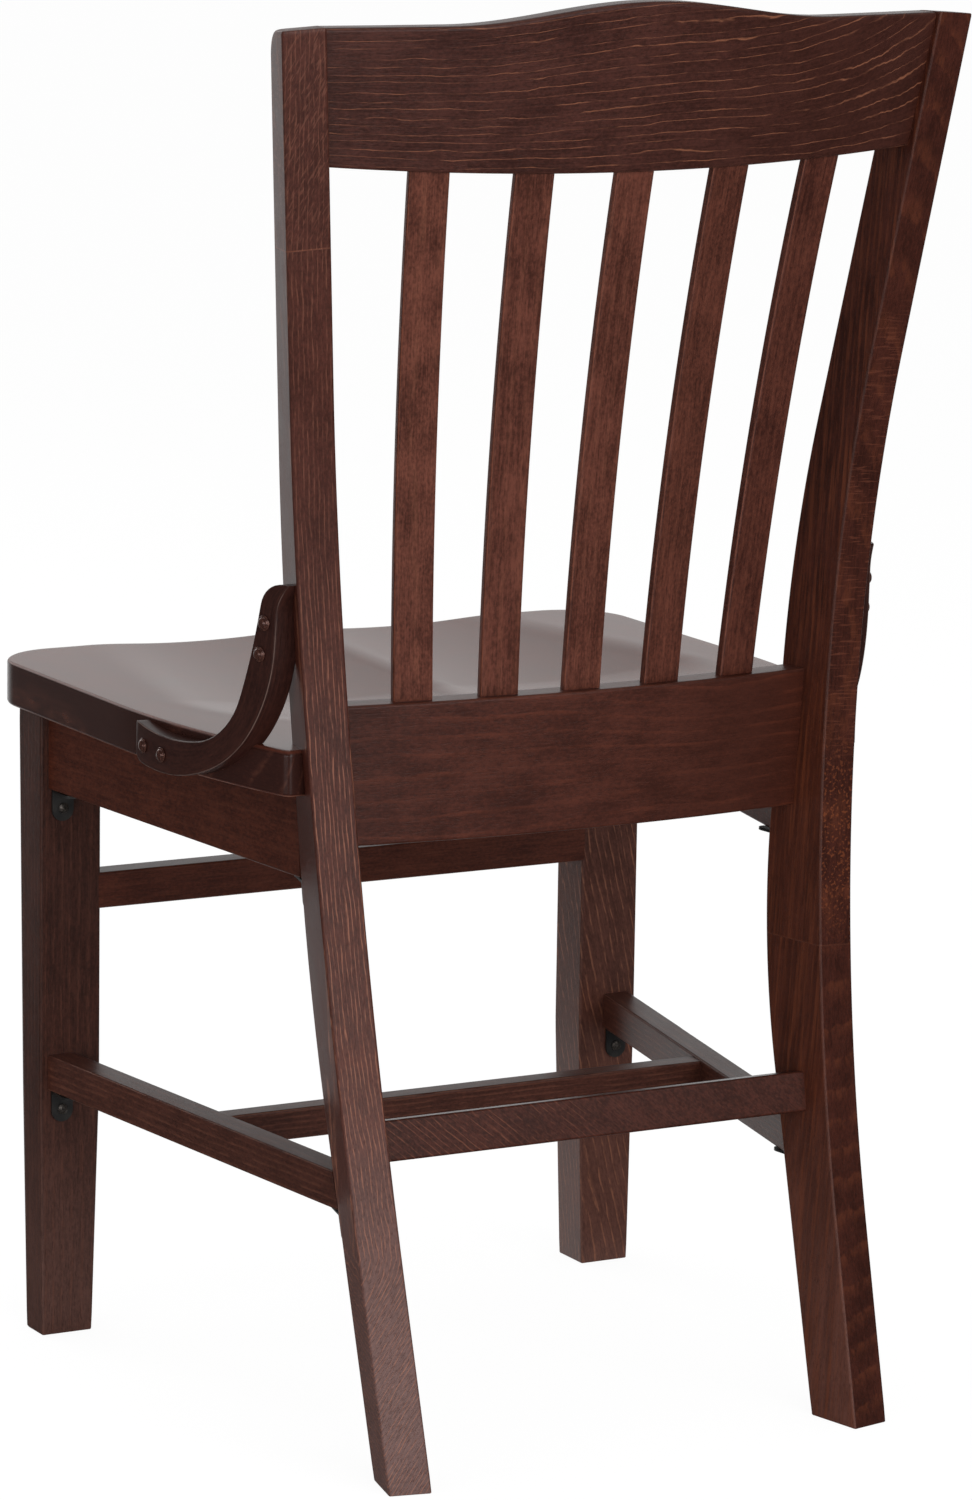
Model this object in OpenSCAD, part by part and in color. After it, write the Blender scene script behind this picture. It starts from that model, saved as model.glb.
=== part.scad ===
// Slatted schoolhouse chair in solid wood.
// +X is the sitter's left, +Y is behind the back, +Z is up.
// The origin is on the floor, under the middle of the chair's box.

/* [Rear legs] */
// Height of the back posts along the leg
post_len = 887; // [840:1:930]
// Thickness of a rear leg from side to side
post_w = 27.5; // [24:0.5:32]
// Turn of each rear leg about its own length, to follow the bowed back
leg_turn = 12; // [8:0.5:14]
// Outward lean of each rear leg
leg_lean = 4.4; // [3:0.1:5]
// Sideways offset of the outer face at the floor, across the turned leg
rear_leg_out = 121.5; // [116:0.5:127]
// Depth from the chair's middle to the front face at the seat
front_face_r = 162.8; // [158:0.2:168]
// Depth from the chair's middle to the narrowest place of the back face
back_waist_r = 205.4; // [200:0.2:212]
// Height of the back face's narrowest place
back_waist_z = 490; // [470:1:510]
// Bend radius of the back face below the waist
back_low_r = 1440; // [1340:10:1540]
// Bend radius of the back face above the waist
back_up_r = 1100; // [1000:10:1200]
// Rake of the foot's back face
foot_rake = 14.7; // [14:0.1:15.4]
// Rake of the post's back face
post_rake = 9.6; // [9:0.1:10.2]
// Height where the front face starts to bend towards the foot
front_low_z = 375; // [365:1:385]
// Height where the front face starts to bend towards the top
front_up_z = 470; // [460:1:480]
// Bend radius of the front face below the seat
front_low_r = 600; // [550:10:650]
// Bend radius of the front face above the seat
front_up_r = 900; // [850:10:950]
// Rake of the foot's front face
foot_front_rake = 15.6; // [14.5:0.1:16.5]
// Rake of the post's front face
post_front_rake = 10.2; // [9.5:0.1:10.8]
// Rounding of the post's front top corner
post_round = 20; // [8:1:24]

/* [Front legs] */
// Distance between the outer faces of the front legs
front_span = 448; // [430:1:470]
// Width of a front leg above its taper
front_leg_w = 43; // [38:0.5:48]
// Depth of a front leg
front_leg_d = 35; // [32:0.5:40]
// Width of a front foot
front_foot_w = 36; // [30:0.5:38]
// Inset of the foot's outer face
foot_inset = 2; // [0:0.5:4]
// Rounding of the leg's outer front corner
leg_round = 8; // [4:1:12]
// Height where the taper starts
taper_z = 165; // [120:1:180]
// Distance of the front legs' back faces ahead of the chair's origin
front_leg_y = 153; // [145:1:165]

/* [Seat] */
// Height of the seat's underside
seat_z = 417; // [400:1:430]
// Thickness of the seat
seat_t = 28.5; // [24:0.5:32]
// Width of the seat at its front
seat_w = 459; // [448:1:475]
// Overhang of the seat ahead of the front legs
seat_over = 41; // [30:1:50]
// Corner radius at the seat's front
seat_round = 45; // [30:1:60]
// Width of the seat at its rear, outside the posts
seat_rear_w = 406; // [400:1:412]
// Distance of the seat's rear edge behind the middle of its sides' bend
seat_rear_run = 185; // [175:1:190]
// Distance of the seat's rear corners behind the front legs' back faces
seat_rear_d = 310; // [306:1:312]
// Depth of the two saddle hollows
saddle_d = 8; // [4:0.5:10]
// Depth of the hollows where they run out at the front edge
saddle_front_d = 2.8; // [1:0.2:3.6]
// Hollowing radius across each saddle hollow
saddle_r = 825; // [700:5:900]
// Distance of each saddle hollow from the middle
saddle_x = 72; // [60:1:80]
// Distance of the hollows' deepest place behind the seat's front edge
saddle_run = 205; // [180:1:220]
// Gap between the seat and what it fits against
seat_gap = 0.3; // [0.2:0.1:1]

/* [Back] */
// Bow radius of the crest's and rear rail's back faces
bow_r = 1030; // [950:5:1120]
// Depth of the crest's back face at its top middle
crest_top_y = 236; // [233:0.5:239]
// Depth of the crest's back face at its bottom middle
crest_low_y = 217; // [214:0.5:220]
// Drop from the top of the posts, along their length, to the crest's bottom edge
crest_drop = 92; // [87:1:107]
// Height of the crest's ends
crest_end_h = 91; // [86:1:94]
// Rise of the crest's middle above its ends
crest_hump = 12.5; // [6:0.5:16]
// Half width of the raised middle
crest_hump_w = 125; // [100:1:150]
// Rise of the crest's bottom edge from its middle to its ends
crest_arch = 8; // [2:0.5:9]
// Thickness of the crest
crest_t = 20; // [17:0.5:22]
// Number of back slats
slats = 5; // [5:1:5]
// Width of a slat
slat_w = 26; // [22:0.5:29]
// Thickness of a slat
slat_t = 6.5; // [5:0.5:8]
// Spacing of the slats at their feet
slat_low_pitch = 57.5; // [54:0.5:60]
// Spacing of the slats at the crest
slat_top_pitch = 68; // [64:0.5:70]
// Length of slat inside the crest and the rear rail
slat_tongue = 12; // [8:1:14]
// Setback of the slats from the rear rail's back face
slat_ledge = 6; // [4:0.5:8]
// Setback of the slats from the crest's back face
slat_under = 3; // [2:0.5:6]
// Bend radius of the slats
slat_bend = 2050; // [1900:10:2200]
// Depth of the rear seat rail's back face at its middle
rail_y = 166; // [163:0.5:168]
// Thickness of the rear seat rail
rail_t = 20; // [18:0.5:22]
// Height of the rear seat rail's bottom edge
rail_z = 382; // [376:1:386]
// Height of the rear seat rail
rail_h = 87.5; // [82:0.5:94]

/* [Seat frame] */
// Thickness of the aprons
apron_t = 19; // [16:0.5:20]
// Height of the front apron and of the side aprons' front ends
apron_h = 50; // [44:1:54]
// Height of the side aprons' rear ends
apron_rear_h = 57; // [54:1:62]
// Recess of the side aprons behind the front legs' outer faces
apron_inset = 5.5; // [3:0.5:8]
// Setback of the side aprons from the rear legs' outer faces
apron_flush = 0; // [0:0.5:3]
// Leg length of the corner blocks
block_leg = 46; // [40:1:52]
// Height of the corner blocks
block_h = 30; // [24:1:36]
// Diameter of the seat screws
seat_screw_d = 5; // [4:0.5:6]
// Diameter of the seat screws' heads
seat_head_d = 9.5; // [8:0.5:11]
// Height of the seat screws' heads
seat_head_h = 2.5; // [2:0.5:3.5]
// Distance of the rear corner blocks' middles from the chair's middle
rear_block_x = 118; // [108:1:122]
// Distance of the rear corner blocks' middles behind the origin
rear_block_y = 108; // [100:1:114]
// Distance of the front seat screws inside the front legs' inner faces
front_screw_in = 11.5; // [8:0.5:14]
// Distance of the front seat screws behind the front legs' back faces
front_screw_back = 9; // [6:0.5:12]
// Offset of the rear seat screws outwards from the rear corner blocks' middles
rear_screw_out = 7.5; // [5:0.5:10]
// Offset of the rear seat screws back from the rear corner blocks' middles
rear_screw_back = 4; // [2:0.5:6]
// Depth of the seat screws in the seat
seat_bite = 13; // [10:1:15]

/* [Bars and stretchers] */
// Height of the front bar's underside
bar_z = 284.5; // [270:1:300]
// Height of the front bar's section
bar_h = 24; // [20:1:30]
// Thickness of the front bar
bar_t = 19; // [16:0.5:24]
// Height of the side stretchers' top at the front legs
side_str_z = 190; // [184:1:196]
// Backward slope of the side stretchers
side_str_pitch = 1.5; // [1:0.1:2]
// Height of a side stretcher's section
side_str_h = 24; // [20:1:28]
// Thickness of a side stretcher
side_str_t = 19; // [16:0.5:21]
// Outer face of the side stretchers at the rear legs, from the middle
side_str_rear_x = 171; // [168:0.5:172]
// Depth of the cross stretcher's front face behind the origin
cross_y = 6; // [-20:1:20]
// Thickness of the cross stretcher
cross_t = 16.5; // [14:0.5:20]
// Height of the cross stretcher's section
cross_h = 20; // [16:0.5:22]
// Step from the side stretchers' top down to the cross stretcher's top
cross_drop = 1.5; // [1:0.5:3]
// Depth of the rear stretcher's back face
rear_str_y = 188; // [185:0.5:191]
// Thickness of the rear stretcher
rear_str_t = 19; // [16:0.5:20]
// Height of the rear stretcher's underside
rear_str_z = 191; // [180:1:196]
// Height of the rear stretcher's section
rear_str_h = 25.5; // [22:0.5:28]

/* [Joints] */
// Length of the tenons
tenon_l = 13; // [8:0.5:14]
// Thickness of the tenons
tenon_t = 8; // [6:0.5:9]
// Shoulder left above and below each rail's tenon
shoulder = 5; // [4:0.5:6]
// Height of the crest's tenons
crest_tenon_h = 51; // [40:1:60]
// Height of the rear seat rail's tenons
rail_tenon_h = 47; // [40:1:54]
// Length of the rear seat rail's tenons
rail_tenon_l = 10; // [8:0.5:11]
// Height of the rear seat rail's tenons above the rail's middle
rail_tenon_up = 5; // [3:0.5:7]
// Length of the cross stretcher's tenons
cross_tenon_l = 10; // [8:0.5:11]
// Glue gap round each tenon
glue_gap = 0.1; // [0.05:0.05:0.2]

/* [Hip braces] */
// Thickness of the brace clear of the seat
brace_t = 16; // [14:0.5:17]
// Distance that the brace's front end stands out past the seat's widest place
brace_stand = 7; // [5:0.5:9]
// Distance that the brace's outer face stands out past the post's outer face at its top
brace_over_post = 10.8; // [8:0.2:12]
// Front end of the brace behind the origin
brace_y = 15.5; // [10:0.5:18]
// Height of the brace's underside at its lowest place
brace_z = 415.5; // [412:0.5:418]
// Width of the brace at its lowest place, seen from the side
brace_w = 23.5; // [21:0.5:25]
// Distance of the lowest place behind the brace's front end
brace_low_run = 33; // [30:1:36]
// Distance of the upper edge's lowest place behind the underside's
brace_upper_shift = 10; // [7:1:12]
// Bend radius of both edges between the front end and the bend
brace_front_r = 210; // [180:5:260]
// Bend radius at the start of the underside's bend
brace_under_r = 130; // [126:1:134]
// Sweep of the start of the underside's bend
brace_under_sweep = 24.5; // [24:0.5:25]
// Bend radius of the middle of the underside's bend
brace_heel_r = 82.5; // [80:0.5:85]
// Sweep of the middle of the underside's bend
brace_heel_sweep = 32; // [31.5:0.5:32.5]
// Bend radius of the brace's rear edge below the post
brace_rear_r = 108; // [104:1:112]
// Sweep of the brace's rear edge below the post
brace_rear_sweep = 30; // [29.5:0.5:30.5]
// Bend radius at the start of the upper edge's bend
brace_top_r = 160; // [150:1:170]
// Sweep of the start of the upper edge's bend
brace_top_sweep = 10; // [9.5:0.5:10.5]
// Bend radius of the middle of the upper edge's bend
brace_throat_r = 52; // [50:0.5:54]
// Sweep of the middle of the upper edge's bend
brace_throat_sweep = 60; // [59:0.5:61]
// Bend radius of the brace's front edge below the post
brace_nose_r = 410; // [390:5:430]
// Sweep of the brace's front edge below the post
brace_nose_sweep = 7.5; // [7:0.5:8]
// Height of the brace's top end
brace_top_z = 548.5; // [542:0.5:554]
// Rounding of the brace's top front corner
brace_round = 17; // [12:1:18]
// Rounding of the brace's lower front corner
brace_toe = 8; // [5:1:10]
// Backward flare of the brace's rear edge at its top
brace_flare = 9; // [4:0.5:10]
// Height of the flared part of the rear edge
brace_flare_h = 17; // [12:1:20]
// Distance of the first seat screw behind the brace's front end
seat_dome_in = 10.5; // [9:0.5:14]
// Height of the first seat screw above the brace's underside
seat_dome_up = 13.5; // [9:0.5:15]
// Spacing of the seat screws along the brace
seat_dome_pitch = 23; // [18:1:26]
// Step down from the first to the second seat screw
seat_dome_fall = 2; // [0:0.5:4]
// Distance of the upper post screw behind the brace's front edge
post_dome_in = 5.5; // [4:0.5:7]
// Distance of the upper post screw below the brace's top
post_dome_down = 25; // [20:0.5:28]
// Spacing of the post screws in height
post_dome_pitch = 19.5; // [15:0.5:22]
// Step forward from the upper to the lower post screw
post_dome_shift = 3.5; // [2:0.5:5]
// Diameter of the brace screws' domed heads
dome_d = 9.5; // [8:0.5:11]
// Height of the brace screws' domed heads
dome_h = 2.8; // [2:0.2:3.5]
// Gap between a screw's domed head and the middle of the bent brace
dome_seat = 0.2; // [0.2:0.1:0.4]
// Diameter of the brace screws' shanks
brace_screw_d = 4.5; // [3.5:0.5:5]
// Length of the brace screws' shanks
brace_screw_l = 30; // [26:1:34]

/* [Corner brackets] */
// Width of a bracket
bracket_w = 15; // [12:0.5:16]
// Thickness of a bracket
bracket_t = 1.6; // [1:0.2:2.4]
// Length of the tab on the leg
bracket_tab = 21; // [18:0.5:24]
// Length of the foot under the rail
bracket_foot = 24; // [20:0.5:28]
// Distance of each bracket screw from the bend
bracket_hole = 12.5; // [10:0.5:14]
// Diameter of the bracket screws' heads
pan_d = 7; // [6:0.5:8]
// Height of the bracket screws' heads
pan_h = 2; // [1.4:0.2:2.6]
// Diameter of the bracket screws' shanks
bracket_screw_d = 3.5; // [3:0.1:4]
// Gap between a bracket and its leg and rail at the bend
bracket_seat = 0.3; // [0.2:0.1:0.6]
// Drop of the rear brackets below the rails' middle lines
bracket_drop = 1; // [0.6:0.2:1.6]
// Length of the bracket screws' shanks
bracket_screw_l = 14; // [10:1:15]

/* [Hidden] */
$fn = 48;

wood = [0.27, 0.15, 0.13];
wood_light = [0.33, 0.19, 0.16];
seat_wood = [0.42, 0.35, 0.33];
black = [0.10, 0.10, 0.11];
copper = [0.36, 0.20, 0.15];

// Steps of a bend that is drawn as a run of points
bend_steps = 10;
// Length of a tenon that lies inside its own rail
tenon_root = 10;
// Distance that a drilled hole runs out past a face
poke = 1;
// Room past a cut, so that no two cut faces coincide
far = 400;
past = 60;

crest_z = post_len - crest_drop;
half = front_span / 2;
front_mid_y = -front_leg_y - front_leg_d / 2;
front_face_y = -front_leg_y - front_leg_d;
seat_front_y = front_face_y - seat_over;
seat_rear_y = seat_rear_d - front_leg_y;
apron_front_x = half - apron_inset;
bow_y = rail_y - bow_r;
rail_top = rail_z + rail_h;
crest_back_low = crest_low_y - bow_y;
crest_back_top = crest_top_y - bow_y;
crest_lean = atan((crest_top_y - crest_low_y) / (crest_end_h + crest_arch));

// Depth of the legs' middle, which is brought to the origin
foot_lift = post_w * tan(leg_lean);
foot_r = edge_low(back_waist_r, back_waist_z, back_low_r, foot_rake, -foot_lift)[0];
foot_back_y = foot_r * cos(leg_turn) - (rear_leg_out - post_w / cos(leg_lean)) * sin(leg_turn);
centre_y = (foot_back_y + seat_front_y) / 2;
module placed() translate([0, -centre_y, 0]) children();

// Mirrors its children across the chair's middle plane
module other_side() mirror([1, 0, 0]) children();

// Draws its children on both sides
module both_sides() {
    children();
    other_side() children();
}

// Rear leg

// One long edge of the leg's side view, from the floor to the top, as [depth, height]
function edge_low(r, z, bend, rake, floor_z) =
    [r + bend * (1 - cos(rake)) + (z - bend * sin(rake) - floor_z) * tan(rake), floor_z];
function edge_depth(r, z, bend, rake, top_z) =
    r + bend * (1 - cos(rake)) + (top_z - z - bend * sin(rake)) * tan(rake);
function edge_bend(r, z, bend, from, to) = [for (i = [0:bend_steps])
    let (a = from + (to - from) * i / bend_steps) [r + bend * (1 - cos(a)), z + bend * sin(a)]];

front_edge = concat(
    [edge_low(front_face_r, front_low_z, front_low_r, foot_front_rake, -past)],
    edge_bend(front_face_r, front_low_z, front_low_r, -foot_front_rake, 0),
    edge_bend(front_face_r, front_up_z, front_up_r, 0, post_front_rake)
);
back_edge = concat(
    [edge_low(back_waist_r, back_waist_z, back_low_r, foot_rake, -past)],
    edge_bend(back_waist_r, back_waist_z, back_low_r, -foot_rake, 0),
    edge_bend(back_waist_r, back_waist_z, back_up_r, post_rake / bend_steps, post_rake),
    [[edge_depth(back_waist_r, back_waist_z, back_up_r, post_rake, post_len), post_len]]
);
round_z = post_len - post_round;
round_r = edge_depth(front_face_r, front_up_z, front_up_r, post_front_rake, round_z)
    + post_round / cos(post_front_rake);
top_round = [for (i = [0:bend_steps])
    let (a = 180 - post_front_rake - (90 - post_front_rake) * i / bend_steps)
    [round_r + post_round * cos(a), round_z + post_round * sin(a)]];

function backwards(list) = [for (i = [len(list) - 1:-1:0]) list[i]];

// Puts its children in the left leg's frame: x across, y along the depth, z up the leaning leg
module in_leg() {
    rotate([0, 0, -leg_turn]) translate([rear_leg_out, 0, 0]) rotate([0, leg_lean, 0]) children();
}

// Draws a side view, given as [depth, height], as a slab from x = from to x = to
module side_slab(points, from, to) {
    translate([from, 0, 0]) rotate([90, 0, 90]) linear_extrude(to - from) polygon(points);
}

module leg_blank() {
    intersection() {
        in_leg() side_slab(concat(front_edge, top_round, backwards(back_edge)), -post_w, 0);
        translate([-far, -far, 0]) cube([2 * far, 2 * far, 2 * post_len]);
    }
}

// Everything behind the leg's front face, in its side view
front_edge_top = [edge_depth(front_face_r, front_up_z, front_up_r, post_front_rake, post_len), post_len];
behind_front = concat(front_edge, [front_edge_top, [far, post_len], [far, -past]]);

// Everything behind the leg's front face, wider than the leg
module behind_leg_front() in_leg() side_slab(behind_front, -post_w - past, past);

// Everything outside the leg's inner face
module outside_leg_inner() {
    in_leg() translate([-post_w, -far, -past]) cube([far, 3 * far, post_len + 3 * past]);
}

module rear_leg() {
    color(wood_light) difference() {
        leg_blank();
        crest_tenon(glue_gap);
        rail_tenon(glue_gap);
        apron_rear_tenon(glue_gap);
        side_str_rear_tenon(glue_gap);
        rear_str_tenon(glue_gap);
        brace_holes(post_screw_places);
        rear_bracket_shanks();
    }
}

// Front leg

module front_leg() {
    outline = [
        [half - foot_inset - front_foot_w, 0], [half - foot_inset, 0], [half, taper_z], [half, seat_z],
        [half - front_leg_w, seat_z], [half - front_leg_w, taper_z]
    ];
    round_mid = [half - leg_round, front_face_y + leg_round];
    color(wood_light) difference() {
        intersection() {
            translate([0, -front_leg_y, 0]) rotate([90, 0, 0]) linear_extrude(front_leg_d) polygon(outline);
            linear_extrude(seat_z) polygon(concat(
                [for (i = [0:bend_steps]) let (a = -90 * i / bend_steps)
                    [round_mid[0] + leg_round * cos(a), round_mid[1] + leg_round * sin(a)]],
                [[0, front_face_y], [0, 0], [half, 0]]
            ));
        }
        apron_front_tenon(glue_gap);
        side_str_front_tenon(glue_gap);
        front_apron_tenon(glue_gap);
        bar_tenon(glue_gap);
        front_bracket_shanks();
    }
}

// Bowed boards of the back

// Sweep of the bowed boards' blanks, past the posts
bow_sweep = 40;
// A bowed board round the bow's axis, from a section given as [distance from the axis, height]
module bowed(section) {
    translate([0, bow_y, 0]) rotate([0, 0, 90 - bow_sweep / 2])
        rotate_extrude(angle = bow_sweep, $fn = 360) polygon(section);
}

// The crest's outline seen from behind, as [x, height]
function hump(x) = abs(x) < crest_hump_w ? crest_hump * (1 + cos(180 * x / crest_hump_w)) / 2 : 0;
crest_half = 200;
crest_end_x = crest_half + past;
crest_steps = 40;
crest_outline = concat(
    [for (i = [0:crest_steps]) let (x = crest_end_x * (2 * i / crest_steps - 1))
        [x, crest_z + crest_arch * pow(x / crest_half, 2)]],
    [for (i = [0:crest_steps]) let (x = crest_end_x * (1 - 2 * i / crest_steps))
        [x, crest_z + crest_end_h + hump(x)]]
);

module crest_blank() {
    slant = tan(crest_lean);
    thick = crest_t / cos(crest_lean);
    low = crest_z - past;
    high = crest_z + crest_end_h + past;
    r_low = crest_back_low - past * slant;
    r_high = crest_back_low + (crest_end_h + past) * slant;
    intersection() {
        bowed([[r_low - thick, low], [r_low, low], [r_high, high], [r_high - thick, high]]);
        translate([0, far, 0]) rotate([90, 0, 0]) linear_extrude(far) polygon(crest_outline);
    }
}

// Depth in the leg's frame of a bow of radius r where it meets the leg's inner face at a height
function bow_depth(r, z) = let (x = rear_leg_out - post_w + z * tan(leg_lean))
    bow_y * cos(leg_turn) + sqrt(r * r - pow(x + bow_y * sin(leg_turn), 2));

// The crest's tenon in the left leg, and its mortise when grown
crest_mid_z = crest_z + crest_end_h / 2;
crest_mid_r = crest_back_low + (crest_end_h / 2) * tan(crest_lean) - crest_t / 2 / cos(crest_lean);
module crest_tenon(grow = 0) {
    in_leg() translate([-post_w - tenon_root, bow_depth(crest_mid_r, crest_mid_z), crest_mid_z])
        rotate([-crest_lean, 0, 0]) translate([0, -tenon_t / 2 - grow, -crest_tenon_h / 2 - grow])
        cube([tenon_l + tenon_root + grow, tenon_t + 2 * grow, crest_tenon_h + 2 * grow]);
}

module crest_rail() {
    color(wood) difference() {
        union() {
            difference() {
                crest_blank();
                both_sides() outside_leg_inner();
            }
            both_sides() crest_tenon();
        }
        for (i = [0:slats - 1]) slat_blank(i, glue_gap);
    }
}

module rail_blank() {
    r = rail_y - bow_y;
    intersection() {
        bowed([[r - rail_t, rail_z], [r, rail_z], [r, rail_top], [r - rail_t, rail_top]]);
        translate([-far / 2, 0, 0]) cube([far, far, 2 * rail_top]);
    }
}

// The rear rail's tenon in the left leg, and its mortise when grown
module rail_tenon(grow = 0) {
    mid_z = rail_z + rail_h / 2 + rail_tenon_up;
    in_leg() translate([-post_w - tenon_root, bow_depth(rail_y - bow_y - rail_t / 2, mid_z), mid_z])
        translate([0, -tenon_t / 2 - grow, -rail_tenon_h / 2 - grow])
        cube([rail_tenon_l + tenon_root + grow, tenon_t + 2 * grow, rail_tenon_h + 2 * grow]);
}

module rear_seat_rail() {
    color(wood) difference() {
        union() {
            difference() {
                rail_blank();
                both_sides() outside_leg_inner();
            }
            both_sides() rail_tenon();
        }
        for (i = [0:slats - 1]) slat_blank(i, glue_gap);
    }
}

// Back slats, numbered from the sitter's left

slat_run = crest_z - rail_top;
function slat_place(i, pitch, back_y) = let (x = ((slats - 1) / 2 - i) * pitch)
    [x, back_y - bow_r + sqrt(bow_r * bow_r - x * x)];

module slat_blank(i, grow = 0) {
    steps = 2 * bend_steps;
    low = slat_place(i, slat_low_pitch, rail_y - slat_ledge);
    top = slat_place(i, slat_top_pitch, crest_low_y - slat_under);
    turn = asin((low[0] + top[0]) / 2 / bow_r);
    across = (top[0] - low[0]) * cos(turn) - (top[1] - low[1]) * sin(turn);
    back_run = (top[0] - low[0]) * sin(turn) + (top[1] - low[1]) * cos(turn);
    slope = back_run / slat_run - slat_run / 2 / slat_bend;
    back = [for (k = [0:steps]) let (z = -slat_tongue + (slat_run + 2 * slat_tongue) * k / steps)
        [slope * z + z * z / 2 / slat_bend + grow, z]];
    front = [for (p = backwards(back)) [p[0] - slat_t - 2 * grow, p[1]]];
    translate([low[0], low[1], rail_top]) rotate([0, 0, -turn]) rotate([0, atan(across / slat_run), 0])
        side_slab(concat(back, front), -slat_w / 2 - grow, slat_w / 2 + grow);
}

module back_slat(i) {
    color(wood_light) slat_blank(i);
}

// Seat

seat_half = seat_w / 2;
seat_bend_y = seat_rear_y - seat_rear_run;
seat_bend_r = (seat_rear_run * seat_rear_run + pow(seat_half - seat_rear_w / 2, 2)) / (seat_w - seat_rear_w);

// The seat's side from the middle of its front edge to its rear corner, as [x, y]
seat_side = concat(
    [for (i = [0:bend_steps]) let (a = 90 - 90 * i / bend_steps)
        [seat_half - seat_round + seat_round * cos(a), seat_front_y + seat_round - seat_round * sin(a)]],
    [for (i = [0:bend_steps]) let (a = asin(seat_rear_run / seat_bend_r) * i / bend_steps)
        [seat_half - seat_bend_r * (1 - cos(a)), seat_bend_y + seat_bend_r * sin(a)]]
);
seat_outline = concat(seat_side, [for (p = backwards(seat_side)) [-p[0], p[1]]]);

module seat_blank() {
    translate([0, 0, seat_z]) linear_extrude(seat_t) polygon(seat_outline);
}

// One saddle hollow: a long shallow trough that runs out at the front edge and closes round at the rear
module saddle_cut() {
    rise = atan((saddle_d - saddle_front_d) / saddle_run);
    translate([saddle_x, seat_front_y + saddle_run, seat_z + seat_t - saddle_d + saddle_r])
        rotate([90 - rise, 0, 0]) {
            cylinder(h = far, r = saddle_r, $fn = 360);
            rotate([0, 0, 90]) sphere(saddle_r, $fn = 360);
        }
}

// Room for the left post in the seat
module post_notch() {
    in_leg() translate([0, -seat_gap, 0]) side_slab(behind_front, -post_w - seat_gap, seat_gap);
}

// Everything behind the rear rail's front face
module behind_rail(grow = 0) {
    translate([0, bow_y, 0]) rotate_extrude($fn = 360)
        translate([rail_y - rail_t - grow - bow_y, 0]) square([past + grow, rail_top + past]);
}

module seat() {
    color(seat_wood) difference() {
        seat_blank();
        both_sides() {
            saddle_cut();
            post_notch();
            brace_holes(seat_screw_places);
            seat_screw_shanks();
        }
        difference() {
            behind_rail(seat_gap);
            both_sides() outside_leg_inner();
        }
    }
}

// Side apron, along a line in plan from the front leg to the rear leg

// How far the left leg's outer front corner lies from the middle and behind the origin, at a height
function leg_corner(z, r) = let (x = rear_leg_out + z * tan(leg_lean))
    [x * cos(leg_turn) + r * sin(leg_turn), r * cos(leg_turn) - x * sin(leg_turn)];

// How far the left leg's outer face lies from the middle, at a distance behind the origin and a height
function leg_side_x(y, z) = (rear_leg_out + z * tan(leg_lean) + y * sin(leg_turn)) / cos(leg_turn);

apron_rear = leg_corner(seat_z - apron_rear_h, front_face_r);
apron_run = front_leg_y + apron_rear[1];
apron_turn = atan((apron_front_x - apron_rear[0] + apron_flush) / apron_run);

// Puts its children in a side rail's frame: x outwards from the outer face, y along the rail
module in_rail(turn) {
    translate([apron_front_x, -front_leg_y, 0]) rotate([0, 0, turn]) children();
}

// The side apron's side view, as [run along the rail, height], cut back by an inset above and below
function apron_view(from, to, inset) = [
    [from, seat_z - apron_h - apron_drop(from) + inset], [to, seat_z - apron_h - apron_drop(to) + inset],
    [to, seat_z - inset], [from, seat_z - inset]
];
function apron_drop(run) = (apron_rear_h - apron_h) * run / apron_run;

module apron_rear_tenon(grow = 0) {
    deep = front_face_r + tenon_l + grow;
    intersection() {
        in_rail(apron_turn) side_slab(apron_view(apron_run - past, apron_run + past, shoulder - grow),
            -apron_t / 2 - tenon_t / 2 - grow, -apron_t / 2 + tenon_t / 2 + grow);
        in_leg() side_slab([[0, 0], [deep, 0], [deep, post_len], [0, post_len]], -post_w, 0);
    }
}

module apron_front_tenon(grow = 0) {
    in_rail(apron_turn) side_slab(apron_view(-tenon_l - grow, apron_t, shoulder - grow),
        -apron_t / 2 - tenon_t / 2 - grow, -apron_t / 2 + tenon_t / 2 + grow);
}

module apron_blank() {
    difference() {
        in_rail(apron_turn) side_slab(apron_view(-apron_t, apron_run + past, 0), -apron_t, 0);
        behind_leg_front();
        translate([0, -front_leg_y - far, 0]) cube([far, far, far + seat_z]);
    }
}

module side_apron() {
    color(wood) difference() {
        union() {
            apron_blank();
            apron_rear_tenon();
            apron_front_tenon();
        }
        front_bracket_shanks();
        rear_bracket_shanks();
    }
}

// Front apron and front bar

module front_apron_tenon(grow = 0) {
    low = seat_z - apron_h + shoulder;
    translate([half - front_leg_w - past, front_mid_y - tenon_t / 2 - grow, low - grow])
        cube([past + tenon_l + grow, tenon_t + 2 * grow, apron_h - 2 * shoulder + 2 * grow]);
}

module front_apron() {
    inner = half - front_leg_w;
    color(wood) {
        translate([-inner, front_mid_y - apron_t / 2, seat_z - apron_h]) cube([2 * inner, apron_t, apron_h]);
        both_sides() front_apron_tenon();
    }
}

module bar_tenon(grow = 0) {
    mid_y = -front_leg_y - bar_t / 2;
    translate([half - front_leg_w - past, mid_y - tenon_t / 2 - grow, bar_z + shoulder - grow])
        cube([past + tenon_l + grow, tenon_t + 2 * grow, bar_h - 2 * shoulder + 2 * grow]);
}

module front_bar() {
    inner = half - front_leg_w;
    color(wood) {
        translate([-inner, -front_leg_y - bar_t, bar_z]) cube([2 * inner, bar_t, bar_h]);
        both_sides() bar_tenon();
    }
}

// Side stretchers

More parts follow.
